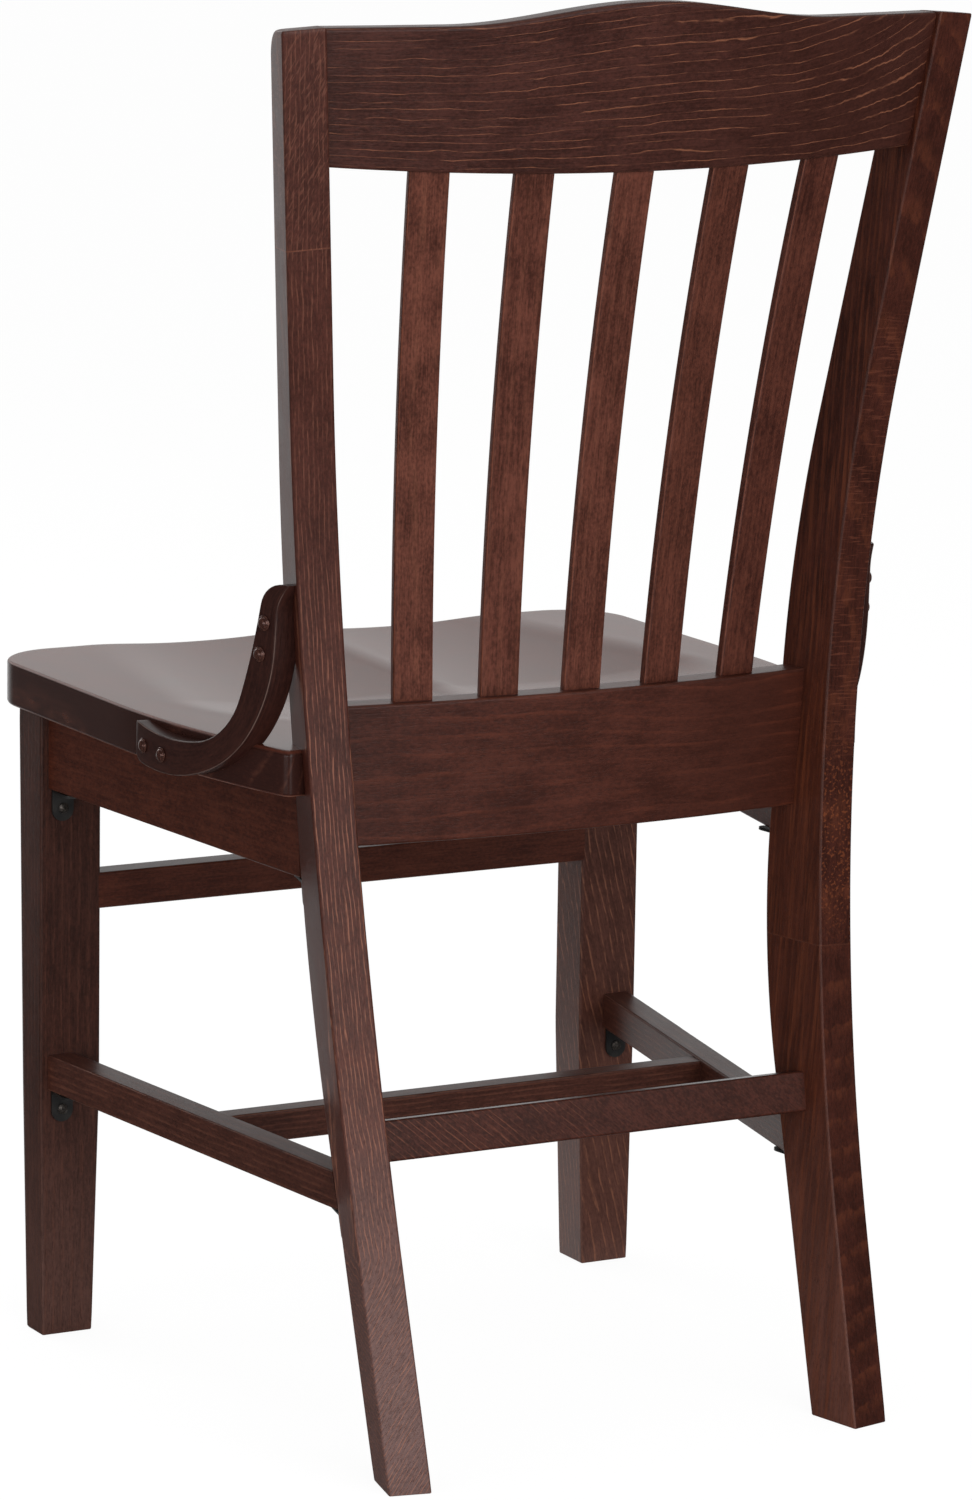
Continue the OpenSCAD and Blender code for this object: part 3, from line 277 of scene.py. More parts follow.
def mesh_of(rings, grain, wear_and_light=None):
    """Points, faces, grain and arris marks of a tube of rings with closed ends, the marks standing
    for wear and painted light. Unless they are given, they lie on the round corners that corners() makes."""
    count, size = rings.shape[:2]
    if wear_and_light is None:
        wear_and_light = np.tile(CORNER_WEAR_AND_LIGHT, (count, size // len(CORNER_WEAR_AND_LIGHT)))
    faces = []
    for i in range(count - 1):
        for j in range(size):
            here, after = i * size, (i + 1) * size
            turned = (j + 1) % size
            faces.append((here + j, here + turned, after + turned, after + j))
    faces += [tuple(range(size))[::-1], tuple(range((count - 1) * size, count * size))]
    return rings.reshape(-1, 3), faces, grain.reshape(-1, 3), wear_and_light.ravel()


def dress(node, points, faces, grain, wear_and_light, finish, slot, mirrored=False):
    """A smooth piece that stands for a CAD node, from points in millimetres in the drawing's
    frame, whose middle lies at CENTRE_Y."""
    points = np.array(points, float)
    points[:, 1] -= CENTRE_Y
    if mirrored:
        points[:, 0] *= -1
    mesh = bpy.data.meshes.new(node + "_piece")
    mesh.from_pydata((points * MM).tolist(), [], faces)
    shape = bmesh.new()
    shape.from_mesh(mesh)
    bmesh.ops.recalc_face_normals(shape, faces=shape.faces)
    shape.to_mesh(mesh)
    shape.free()
    mesh.polygons.foreach_set("use_smooth", [True] * len(mesh.polygons))
    grain_data = mesh.attributes.new("grain", "FLOAT_VECTOR", "POINT").data
    grain_data.foreach_set("vector", (np.asarray(grain) * MM).ravel())
    wear_and_light_data = mesh.attributes.new("wear_and_light", "FLOAT", "POINT").data
    wear_and_light_data.foreach_set("value", np.asarray(wear_and_light, float))
    mesh.materials.append(finish.owner)
    piece = bpy.data.objects.new(node + "_piece", mesh)
    bpy.context.scene.collection.objects.link(piece)
    shading = piece.modifiers.new("face_normals", "WEIGHTED_NORMAL")
    shading.weight = 80
    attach(piece, "root")
    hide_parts(node)


def bent(height, depth, low, high, low_r, high_r, low_rake, high_rake):
    """Depth of a leg's front or back edge: upright in the middle, curving back below low and
    above high on a radius until it leans by its rake in degrees."""
    def run(distance, radius, rake):
        rake = math.radians(rake)
        reach = radius * math.sin(rake)
        inside = np.clip(distance, 0, reach)
        return radius - np.sqrt(radius ** 2 - inside ** 2) + np.maximum(distance - reach, 0) * math.tan(rake)
    return float(depth + run(low - height, low_r, low_rake) + run(height - high, high_r, high_rake))


def leg_place(height, across, depth):
    """A point of the left rear leg: along it, across it from its outer face inwards, and in
    depth. Towards the floor its sections tilt, so that the foot stands flat."""
    height = height + across * math.tan(LEG_LEAN) * np.clip(1 - height / FLAT_FOOT, 0, 1)
    x = across * math.cos(LEG_LEAN) + height * math.sin(LEG_LEAN) + LEG_OUT
    z = height * math.cos(LEG_LEAN) - across * math.sin(LEG_LEAN)
    return (x * math.cos(LEG_TURN) + depth * math.sin(LEG_TURN),
            depth * math.cos(LEG_TURN) - x * math.sin(LEG_TURN), z)


def leg_outline(height, inset):
    front = bent(height, **FRONT_EDGE)
    centre = LEG_TOP - TOP_ROUND
    if height > centre:
        tip = bent(centre, **FRONT_EDGE) + TOP_ROUND / math.cos(math.radians(FRONT_EDGE["high_rake"]))
        front = max(front, tip - math.sqrt(max(TOP_ROUND ** 2 - (height - centre) ** 2, 0)))
    return corners(-LEG_WIDTH, 0, front, bent(height, **BACK_EDGE), (ARRIS, ARRIS, ARRIS, LEG_CORNER), inset)


left_start, right_start = 2.1, 0.3
post_woods = {
    # Left post: painted light low on the leg, painted sheen on the foot, painted shade on the arrises.
    "left": stained(
        "left_post_beech", (52, 23, 16), (75, 37, 28), (146, 94, 72), pitch=0.0028, line=0.70,
        line_width=0.28, wander=0.007, wobble=0.0022, uneven=0.0036, breaks=(240, 240, 50),
        fade=(left_start + 0.42, left_start + 0.62, 0.4), joint=left_start + 0.755,
        arris=0.5, arris_tint=(54, 27, 22),
        painted_shading=((left_start + 0.42, left_start + 0.22, 0.22, (108, 58, 44)),
                (left_start + 0.27, left_start + 0.04, 0.50, (120, 99, 96))),
        flecks=((left_start + 0.765, left_start + 1.0, 0.32, (118, 74, 58), 1.7, (240, 240, 460)),)),
    # Right post, inner face: painted light low down, painted sheen on the foot, painted shade in patches.
    "right": stained(
        "right_post_beech", (42, 17, 11), (66, 30, 21), (98, 50, 30), pitch=0.0048, line=0.35,
        line_width=0.5, wander=0.02, wobble=0.0024, mottle=0.42, joint=right_start + 0.296, seam=0.15,
        painted_shading=((right_start + 0.58, right_start + 0.38, 0.5, (84, 42, 28)),
                (right_start + 0.24, right_start + 0.05, 0.55, (108, 70, 60))),
        bands=(-0.0071, 0.42, (106, 54, 32)), arris=0.04,
        flecks=((right_start + 0.42, right_start + 0.70, 0.42, (100, 54, 38), 0.0, (60, 60, 900)),
                (right_start + 0.31, right_start + 0.42, 0.60, (112, 58, 32), 0.0, (420, 420, 560)))),
}
heights = [*np.linspace(0, LEG_TOP - TOP_ROUND, 88)]
heights += [LEG_TOP - TOP_ROUND * (1 - math.sin(math.radians(a))) for a in range(9, 82, 9)]
heights += [LEG_TOP]
for side, start, mirrored in (("left", left_start, False), ("right", right_start, True)):
    rings, grain = loft(heights, leg_outline, leg_place, LEG_EASE, LEG_PITH, start / MM)
    if mirrored:
        grain[..., :2] = grain[..., 1::-1] + RIGHT_SHIFT
    else:
        below = np.clip(FOOT_FIGURE + start / MM - grain[..., 2], 0, None)
        grain[..., 0] -= FOOT_SLANT * below ** 2 / (below + SLANT_EASE)
    dress(f"rear_leg_{side}", *mesh_of(rings, grain), post_woods[side], "stained_wood", mirrored)

# Front legs: straight square-sawn beech, full width down to the side stretchers and tapered
# below them to a smaller foot; the outer front corner is rounded, more so towards the floor.
FRONT_HALF, FRONT_WIDTH, FRONT_DEPTH = 224, 43, 35
FOOT_WIDTH, FOOT_INSET, FACE_INSET, TAPER_HEIGHT = 36, 2, 2.5, 165
FRONT_CORNER, FOOT_CORNER = 2, 10
FRONT_LEG_Y, SEAT_BOTTOM = -153, 417
FRONT_PITH = (-160, 220)


def front_leg_outline(height, inset):
    taper = max(0.0, 1 - height / TAPER_HEIGHT)
    outer = FRONT_HALF - FOOT_INSET * taper
    inner = FRONT_HALF - FRONT_WIDTH + (FRONT_WIDTH - FOOT_WIDTH - FOOT_INSET) * taper
    face = FRONT_LEG_Y - FRONT_DEPTH + FACE_INSET * taper
    low_share = min(1.0, max(0.0, (SEAT_BOTTOM - height) / (SEAT_BOTTOM - TAPER_HEIGHT)))
    outer_round = FRONT_CORNER + (FOOT_CORNER - FRONT_CORNER) * low_share
    return corners(inner, outer, face, FRONT_LEG_Y, (ARRIS, ARRIS, ARRIS, outer_round), inset)


def slanted(grain, slope):
    """The grain of a board cut from its log at a slope: turned in the board's face."""
    across, into, along = np.moveaxis(grain, -1, 0)
    return np.stack([across * math.cos(slope) - along * math.sin(slope), into,
                     along * math.cos(slope) + across * math.sin(slope)], axis=-1)


# Both legs turn lighter and greyer towards the floor: painted light from the floor and painted sheen.
leg_woods = {
    "left": stained(
        "left_leg_beech", (42, 22, 17), (66, 36, 28), (96, 57, 44), pitch=0.0036, line=0.35,
        wander=0.006, painted_shading=((3.60, 3.42, 0.55, (98, 70, 63)),)),
    "right": stained(
        "right_leg_beech", (54, 29, 23), (78, 45, 36), (128, 82, 62), pitch=0.0042, line=0.7,
        line_width=0.22, wander=0.012, wobble=0.003, uneven=0.003, breaks=(150, 150, 70),
        painted_shading=((1.50, 1.25, 0.40, (104, 68, 58)),)),
}
for side, start, slope, mirrored in (("left", 3400, 0, False), ("right", 1200, math.radians(-13), True)):
    rings, grain = loft(np.linspace(0, SEAT_BOTTOM, 43), front_leg_outline,
                        lambda height, x, y: (x, y, np.full(len(x), height)), LEG_EASE, FRONT_PITH)
    grain = slanted(grain, slope) + (0, 0, start)
    dress(f"front_leg_{side}", *mesh_of(rings, grain), leg_woods[side], "stained_wood", mirrored)

# Crest rail: a board steamed or sawn to the back's bow, with a low hump along its top edge,
# let into both posts. Its flat-sawn face shows wavy growth lines that arch across it.
RAIL_BACK, BOW_RADIUS = 166, 1030
BOW_Y = RAIL_BACK - BOW_RADIUS
CREST_BOTTOM, CREST_HEIGHT, CREST_THICK, CREST_REACH = 795, 91, 20, 200
CREST_ARCH, CREST_HUMP, HUMP_HALF = 8, 12.5, 125
CREST_LOW_BACK, CREST_TOP_BACK = 217, 236
CREST_LOW_R = CREST_LOW_BACK - BOW_Y
CREST_LEAN = math.atan2(CREST_TOP_BACK - CREST_LOW_BACK, CREST_HEIGHT + CREST_ARCH)
CREST_HEART_ABOVE, CREST_HEART_OFF, CREST_START = 42, 48, 700
CATHEDRAL_RISE, CATHEDRAL_LEAST, CATHEDRAL_FROM, CATHEDRAL_RUN = 34, 0.08, 40, 210
INTO_POST, END_EASE = 2.0, 0.4


def board(a_low, a_high, b_low, b_high, radii):
    """The outline of a board that has one section from end to end, as loft() takes it."""
    return lambda s, inset: corners(a_low, a_high, b_low, b_high, radii, inset)


def to_post(radius, height):
    """Bow angle at which a board of this radius and height ends inside the left post."""
    across = INTO_POST - LEG_WIDTH
    x = LEG_OUT + (across + height * math.sin(LEG_LEAN)) / math.cos(LEG_LEAN)
    return LEG_TURN + np.arcsin((x + BOW_Y * math.sin(LEG_TURN)) / radius)


def on_bow(s, radius, z):
    """A point of a bowed board, s running from -100 at the right post to 100 at the left one."""
    angle = to_post(radius, z) * s / 100
    return radius * np.sin(angle), BOW_Y + radius * np.cos(angle), z


def crest_place(s, into, up):
    x = CREST_REACH * s / 100
    low = CREST_BOTTOM + CREST_ARCH * (x / CREST_REACH) ** 2
    hump = CREST_HUMP * (1 + math.cos(math.pi * x / HUMP_HALF)) / 2 if abs(x) < HUMP_HALF else 0
    z = low + up * (CREST_BOTTOM + CREST_HEIGHT + hump - low) / CREST_HEIGHT
    radius = CREST_LOW_R + (z - CREST_BOTTOM) * math.tan(CREST_LEAN) + into / math.cos(CREST_LEAN)
    return on_bow(s, radius, z)


# The crest darkens towards its right end: painted shade by the post.
crest_wood = stained(
    "crest_beech", (44, 20, 15), (69, 36, 29), (134, 84, 60), pitch=0.0046, line=0.75, line_width=0.07,
    wander=0.012, wobble=0.0036, uneven=0.0055, pores=0.3, breaks=(150, 150, 34),
    painted_shading=((0.74, 0.54, 0.55, (50, 23, 16)),))
rings, grain = loft(np.linspace(-100, 100, 81), board(-CREST_THICK, 0, 0, CREST_HEIGHT, (3, 3, 2, 2)),
                    crest_place, END_EASE)
risen = (CATHEDRAL_RISE * (CATHEDRAL_LEAST + (grain[..., 1] / CREST_HEIGHT) ** 2)
         * (np.clip(CATHEDRAL_FROM - rings[..., 0], 0, None) / CATHEDRAL_RUN) ** 2)
across = CREST_HEIGHT + CREST_HEART_ABOVE - grain[..., 1] + risen
grain = np.stack([across, grain[..., 0] + CREST_HEART_OFF, rings[..., 0] + CREST_START], axis=-1)
dress("crest_rail", *mesh_of(rings, grain), crest_wood, "stained_wood")

# Rear seat rail: a deep bowed board between the rear legs, behind the seat, with the slats
# mortised into its top edge. Its wide face is nearly plain, with faint lengthwise figure.
RAIL_BOTTOM, RAIL_HEIGHT, RAIL_THICK = 382, 87.5, 20
RAIL_HEART_UP, RAIL_HEART_OFF, RAIL_START = 180, 38, 4200
# The rail darkens towards its right end: painted shade where it meets the post.
rail_wood = stained(
    "rail_beech", (50, 22, 15), (73, 35, 25), (102, 50, 33), pitch=0.0095, line=0.28, line_width=0.3,
    wander=0.05, wobble=0.004, mottle=0.4, streak=0.25, breaks=(90, 90, 14),
    painted_shading=((4.20, 4.04, 0.75, (54, 23, 14)),))
rings, grain = loft(np.linspace(-100, 100, 49), board(-RAIL_THICK, 0, 0, RAIL_HEIGHT, (2, 2, 2, 2)),
                    lambda s, into, up: on_bow(s, BOW_RADIUS + into, RAIL_BOTTOM + up), END_EASE)
grain = np.stack([RAIL_HEART_UP - grain[..., 1], grain[..., 0] + RAIL_HEART_OFF, rings[..., 0] + RAIL_START],
                 axis=-1)
dress("rear_seat_rail", *mesh_of(rings, grain), rail_wood, "stained_wood")

# Back slats: five thin bent strips, narrow at the rail and fanned out to the crest,
# glued into mortises in both. Their tones darken from the left slat to the right one.
SLAT_WIDTH, SLAT_THICK, SLAT_BEND, SLAT_TONGUE, SLAT_ARRIS = 26, 6.5, 2050, 10, 1.8
RAIL_PITCH, CREST_PITCH, RAIL_INSET, CREST_INSET = 57.5, 68, 6, 3
RAIL_TOP = RAIL_BOTTOM + RAIL_HEIGHT
SLAT_RUN = CREST_BOTTOM - RAIL_TOP
slat_woods = [
    stained(f"slat_beech_{i + 1}", *tints, pitch=0.0065, line=0.2, line_width=0.5, wander=0.01, wobble=0.003,
            mottle=0.32, streak=0.36, pores=0.45, arris=0.6, arris_tint=(122, 68, 50))
    for i, tints in enumerate((
        ((56, 26, 18), (102, 56, 43), (130, 80, 60)),
        ((54, 25, 17), (96, 52, 40), (124, 74, 56)),
        ((54, 25, 17), (96, 52, 40), (124, 74, 56)),
        ((50, 23, 16), (88, 46, 34), (112, 64, 48)),
        ((48, 21, 15), (82, 42, 31), (108, 60, 44)),
    ))
]
for i, wood in enumerate(slat_woods):
    ends = []
    for pitch, back in ((RAIL_PITCH, RAIL_BACK - RAIL_INSET), (CREST_PITCH, CREST_LOW_BACK - CREST_INSET)):
        x = (2 - i) * pitch
        ends.append((x, back - BOW_RADIUS + math.sqrt(BOW_RADIUS ** 2 - x ** 2)))
    (low_x, low_y), (top_x, top_y) = ends
    turn = math.asin((low_x + top_x) / 2 / BOW_RADIUS)
    sideways = (top_x - low_x) * math.cos(turn) - (top_y - low_y) * math.sin(turn)
    back_run = (top_x - low_x) * math.sin(turn) + (top_y - low_y) * math.cos(turn)
    slope = back_run / SLAT_RUN - SLAT_RUN / 2 / SLAT_BEND
    fan = Matrix.Rotation(math.atan2(sideways, SLAT_RUN), 4, "Y")
    stood = Matrix.Translation((low_x, low_y, RAIL_TOP)) @ Matrix.Rotation(-turn, 4, "Z") @ fan

    def slat_place(height, across, into):
        bend = slope * height + height ** 2 / 2 / SLAT_BEND + into
        local = np.stack([across, bend, np.full(len(across), height), np.ones(len(across))])
        return (np.array(stood) @ local)[:3]

    pith, start = (28 + 9 * i, 60 - 14 * i), 700 * i + 150
    rings, grain = loft(np.linspace(-SLAT_TONGUE, SLAT_RUN + SLAT_TONGUE, 36),
                        board(-SLAT_WIDTH / 2, SLAT_WIDTH / 2, -SLAT_THICK, 0, (SLAT_ARRIS,) * 4),
                        slat_place, END_EASE, pith, start)
    dress(f"back_slat_{i + 1}", *mesh_of(rings, grain), wood, "stained_wood")

# Seat: one thick panel cut to shape, with two shallow saddle hollows sanded into the top that
# run out at the front edge. Its edges are rounded, and its upright sides are darkened as painted shade.
SEAT_TOP = 445.5
SEAT_HALF, SEAT_REAR_HALF, SEAT_FRONT_Y, SEAT_REAR_Y = 229.5, 203, -229, 157
SEAT_ROUND, SEAT_SIDE_RUN, REAR_ROUND = 45, 185, 4
SEAT_BACK_R, SEAT_BACK_HALF = BOW_RADIUS - RAIL_THICK + 2, 168
LEG_NOTCH = [(194, SEAT_REAR_Y), (188, SEAT_REAR_Y), (178, 145)]
SADDLE_X, SADDLE_R, SADDLE_DEPTH, SADDLE_FRONT, SADDLE_RUN = 72, 825, 8, 2.8, 205
SADDLE_BLEND, SADDLE_SINK = 4, 1.0
TOP_EDGE, UNDER_EDGE, REAR_EDGE_MORE, REAR_EDGE_FROM, REAR_EDGE_RUN = 2.0, 2.2, 1.6, 40, 110
SEAT_HEART, SEAT_RINGS, SEAT_CAP = np.array([0.0, -60.0]), 46, 0.01
SEAT_PITH = (290, 60 - SEAT_BOTTOM, 1800)

side_r = (SEAT_SIDE_RUN ** 2 + (SEAT_HALF - SEAT_REAR_HALF) ** 2) / 2 / (SEAT_HALF - SEAT_REAR_HALF)


def seat_side_x(y):
    """Half width of the seat at a depth, behind its round front corners."""
    back = np.clip(np.asarray(y, float) - (SEAT_REAR_Y - SEAT_SIDE_RUN), 0, None)
    return SEAT_HALF - side_r + np.sqrt(side_r ** 2 - back ** 2)


def seat_height(x, y):
    """Height of the seat's top, with the two hollows blended into it."""
    rise = math.atan2(SADDLE_DEPTH - SADDLE_FRONT, SADDLE_RUN)
    deepest_y = SEAT_FRONT_Y + SADDLE_RUN
    top = np.full(np.shape(x), SEAT_TOP)
    for centre in (-SADDLE_X, SADDLE_X):
        sideways = (x - centre) ** 2
        ahead = np.clip(deepest_y - y, 0, None)
        behind = np.clip(y - deepest_y, 0, None)
        hollow = (SEAT_TOP - SADDLE_DEPTH + SADDLE_R - np.sqrt(SADDLE_R ** 2 - sideways - behind ** 2)
                  + ahead * math.tan(rise))
        gap = np.clip(0.5 + (top - hollow) / SADDLE_BLEND, 0, 1)
        top = top * (1 - gap) + hollow * gap - gap * (1 - gap) * SADDLE_SINK
    return top


def inward(line, distance):
    """A closed outline moved inwards by a distance, at each of its points."""
    run = np.roll(line, -1, 0) - np.roll(line, 1, 0)
    run /= np.linalg.norm(run, axis=1)[:, None]
    return line + np.stack([-run[:, 1], run[:, 0]], axis=1) * distance[:, None]


corner_y = SEAT_FRONT_Y + SEAT_ROUND
half_side = [(SEAT_HALF - SEAT_ROUND * (1 - math.sin(a)), corner_y - SEAT_ROUND * math.cos(a))
             for a in np.radians(np.linspace(0, 90, 19))]
half_side += [(float(seat_side_x(y)), y) for y in np.linspace(corner_y + 9, SEAT_REAR_Y - REAR_ROUND, 56)]
half_side += [(SEAT_REAR_HALF - REAR_ROUND * (1 - math.cos(a)), SEAT_REAR_Y - REAR_ROUND * (1 - math.sin(a)))
              for a in np.radians(np.linspace(20, 90, 5))]
half_side += LEG_NOTCH
half_side += [(SEAT_BACK_R * math.sin(a), BOW_Y + SEAT_BACK_R * math.cos(a))
              for a in np.linspace(math.asin(SEAT_BACK_HALF / SEAT_BACK_R), 0.006, 24)]
front_half = [(x, SEAT_FRONT_Y) for x in np.linspace(0, SEAT_HALF - SEAT_ROUND, 24)[1:-1]]
half_line = np.array([(0.0, SEAT_FRONT_Y)] + front_half + half_side + [(0.0, BOW_Y + SEAT_BACK_R)])
seat_line = np.concatenate([half_line, half_line[-2:0:-1] * (-1, 1)])

rear_share = np.clip((seat_line[:, 1] - REAR_EDGE_FROM) / REAR_EDGE_RUN, 0, 1)
top_round = TOP_EDGE + REAR_EDGE_MORE * rear_share
bottom_round = np.full(len(seat_line), UNDER_EDGE)
seat_rings = []
for a in np.radians([0, 25, 50, 75, 90]):
    ring = inward(seat_line, bottom_round * (1 - math.sin(a)))
    seat_rings.append(np.column_stack([ring, SEAT_BOTTOM + bottom_round * (1 - math.cos(a))]))
edge_top = seat_height(*inward(seat_line, top_round).T)
for a in np.radians([0, 18, 36, 54, 72, 90]):
    ring = inward(seat_line, top_round * (1 - math.cos(a)))
    seat_rings.append(np.column_stack([ring, edge_top - top_round * (1 - math.sin(a))]))
inner = inward(seat_line, top_round)
for share in 1 - np.append(np.linspace(0, 1, SEAT_RINGS)[1:-1], 1 - SEAT_CAP):
    ring = SEAT_HEART + (inner - SEAT_HEART) * share
    seat_rings.append(np.column_stack([ring, seat_height(*ring.T)]))
seat_rings = np.array(seat_rings)
# Its upright sides are darkened as painted shade; its arrises take rubbed stain and a painted highlight.
seat_wood = stained(
    "seat_beech", (72, 37, 28), (96, 51, 39), (108, 64, 50), pitch=0.009, line=0.25, line_width=0.2,
    wander=0.02, pores=0.2, sheen=0.26, arris=0.55, side_shade=(0.9, (38, 20, 17)), relief=0.12)
seat_grain = seat_rings[..., [0, 2, 1]] + SEAT_PITH
seat_wear_and_light = np.zeros(seat_rings.shape[:2])
lower_arris, upper_arris = slice(1, 3), slice(7, 9)
seat_wear_and_light[lower_arris] = 1.0
seat_wear_and_light[upper_arris] = 0.75
dress("seat", *mesh_of(seat_rings, seat_grain, seat_wear_and_light), seat_wood, "seat_wood")

# Seat frame: flat aprons tenoned into the legs under the seat, the side ones deeper at the
# rear, and a square bar low between the front legs. Plain sawn beech with eased edges.
APRON_THICK, APRON_HEIGHT, APRON_REAR_HEIGHT, APRON_OUT = 19, 50, 57, 218.5
BAR_BOTTOM, BAR_HEIGHT = 284.5, 24
REAR_END = 100


def leg_corner(height, depth):
    """Where the outer face of the left rear leg meets a depth, at a height."""
    x = LEG_OUT + height * math.tan(LEG_LEAN)
    return (x * math.cos(LEG_TURN) + depth * math.sin(LEG_TURN),
            depth * math.cos(LEG_TURN) - x * math.sin(LEG_TURN))


def rail_frame(turn, s, out, up, rear_skew):
    """A point of a left side rail: s along it from the front leg's back face, out from its outer
    face, and its height. Past REAR_END it is cut askew, to meet the turned rear leg."""
    s = s - out * rear_skew * (s > REAR_END)
    return (APRON_OUT + out * math.cos(turn) - s * math.sin(turn),
            FRONT_LEG_Y + out * math.sin(turn) + s * math.cos(turn), up)


def in_log(grain, across, into, along):
    """The grain of an upright board whose height lies across the log, at a place in that log."""
    return grain[..., [1, 0, 2]] + (across, into, along)


meets_x, meets_y = leg_corner(SEAT_BOTTOM - APRON_REAR_HEIGHT, FRONT_EDGE["depth"])
apron_run = meets_y - FRONT_LEG_Y
apron_turn = math.atan2(APRON_OUT - meets_x, apron_run)


def apron_place(s, out, up):
    drop = (APRON_REAR_HEIGHT - APRON_HEIGHT) * s / apron_run
    z = SEAT_BOTTOM - (1 - up / APRON_HEIGHT) * (APRON_HEIGHT + drop)
    return rail_frame(apron_turn, s, out, z, math.tan(LEG_TURN + apron_turn))


apron_wood = stained(
    "apron_beech", (52, 23, 16), (80, 39, 26), (98, 54, 38), pitch=0.0046, line=0.2, wander=0.008)
for side, start, mirrored in (("left", 5200, False), ("right", 900, True)):
    rings, grain = loft(np.linspace(-2, apron_run + 3, 24),
                        board(-APRON_THICK, 0, 0, APRON_HEIGHT, (0.6, 0.6, ARRIS, ARRIS)),
                        apron_place, END_EASE)
    grain = in_log(grain, 25, 70, start)
    dress(f"side_apron_{side}", *mesh_of(rings, grain), apron_wood, "stained_wood", mirrored)

leg_gap = FRONT_HALF - FRONT_WIDTH + INTO_POST
for node, mid_y, low, tall, start in (
        ("front_apron", FRONT_LEG_Y - FRONT_DEPTH / 2, SEAT_BOTTOM - APRON_HEIGHT, APRON_HEIGHT, 6100),
        ("front_bar", FRONT_LEG_Y - APRON_THICK / 2, BAR_BOTTOM, BAR_HEIGHT, 7300)):
    rings, grain = loft(np.linspace(-leg_gap, leg_gap, 12),
                        board(-APRON_THICK / 2, APRON_THICK / 2, 0, tall, (ARRIS,) * 4),
                        lambda s, y, z: (np.full(len(y), s), mid_y + y, low + z), END_EASE)
    dress(node, *mesh_of(rings, in_log(grain, 30, 55, start)), apron_wood, "stained_wood")

# Stretchers: square-sawn bars between the legs; the side ones slope a little to the rear,
# the cross one joins their middles and the rear one, tilted with the legs, joins the rear legs.
STRETCHER_TOP, STRETCHER_HEIGHT, STRETCHER_THICK = 190, 24, 19
STRETCHER_SLOPE, STRETCHER_END = math.radians(1.5), math.radians(15)
STRETCHER_REAR_OUT = 171
CROSS_FRONT, CROSS_THICK, CROSS_HEIGHT, CROSS_DROP = 6, 16.5, 20, 1.5
REAR_BACK, REAR_MID_Z, REAR_HEIGHT, REAR_MEETS, REAR_TILT = 188, 201.5, 25.5, 204, math.radians(13)
stretcher_depth = bent(STRETCHER_TOP - STRETCHER_HEIGHT, **FRONT_EDGE)
stretcher_run = leg_corner(STRETCHER_TOP - STRETCHER_HEIGHT, stretcher_depth)[1] - FRONT_LEG_Y
stretcher_turn = math.atan2(APRON_OUT - STRETCHER_REAR_OUT, stretcher_run)


def stretcher_place(s, out, up):
    z = STRETCHER_TOP + up * math.cos(STRETCHER_SLOPE) - s * math.sin(STRETCHER_SLOPE)
    lean = (up + STRETCHER_HEIGHT) * math.tan(STRETCHER_END) if s > REAR_END else 0
    level = s * math.cos(STRETCHER_SLOPE) - up * math.sin(STRETCHER_SLOPE) - lean
    return rail_frame(stretcher_turn, level, out, z, math.tan(LEG_TURN + stretcher_turn))


stretcher_wood = stained(
    "stretcher_beech", (52, 28, 22), (76, 42, 33), (108, 66, 50), pitch=0.0036, line=0.4, line_width=0.45,
    wander=0.006, arris=0.45)
for side, start, mirrored in (("left", 6400, False), ("right", 1700, True)):
    rings, grain = loft(np.linspace(-2, stretcher_run + 5, 24),
                        board(-STRETCHER_THICK, 0, -STRETCHER_HEIGHT, 0, (ARRIS,) * 4),
                        stretcher_place, END_EASE)
    grain = in_log(grain, 60, 40, start)
    dress(f"side_stretcher_{side}", *mesh_of(rings, grain), stretcher_wood, "stained_wood", mirrored)

cross_mid = CROSS_FRONT + CROSS_THICK / 2
cross_run = cross_mid - FRONT_LEG_Y
cross_half = APRON_OUT - STRETCHER_THICK - cross_run * math.tan(stretcher_turn)
cross_top = STRETCHER_TOP - cross_run * math.tan(STRETCHER_SLOPE) - CROSS_DROP
rear_mid = REAR_BACK - STRETCHER_THICK / 2
rear_inner = LEG_OUT + REAR_MEETS * math.tan(LEG_LEAN) - LEG_WIDTH
rear_half = (rear_inner + rear_mid * math.sin(LEG_TURN)) / math.cos(LEG_TURN)
rear_stretcher_wood = stained(
    "rear_stretcher_beech", (46, 20, 13), (70, 34, 25), (118, 70, 50), pitch=0.0036, line=0.6,
    line_width=0.16, wander=0.014, wobble=0.003, uneven=0.003, streak=0.15, arris=0.0,
    breaks=(150, 150, 80), fade=(9.16, 9.06, 0.1))
for node, half, mid_y, thick, mid_z, tall, tilt, slope, start, wood in (
        ("cross_stretcher", cross_half + 2, cross_mid, CROSS_THICK, cross_top - CROSS_HEIGHT / 2,
         CROSS_HEIGHT, 0, 0, 8200, stretcher_wood),
        ("rear_stretcher", rear_half + 4, rear_mid, STRETCHER_THICK, REAR_MID_Z,
         REAR_HEIGHT, REAR_TILT, math.radians(42), 9100, rear_stretcher_wood)):
    rings, grain = loft(np.linspace(-half, half, 14),
                        board(-thick / 2, thick / 2, -tall / 2, tall / 2, (ARRIS,) * 4),
                        lambda s, y, z: (np.full(len(y), s), mid_y + y * math.cos(tilt) - z * math.sin(tilt),
                                         mid_z + z * math.cos(tilt) + y * math.sin(tilt)), END_EASE)
    grain = slanted(in_log(grain, 0, 0, 0), slope) + (260, 48, start)
    dress(node, *mesh_of(rings, grain), wood, "stained_wood")

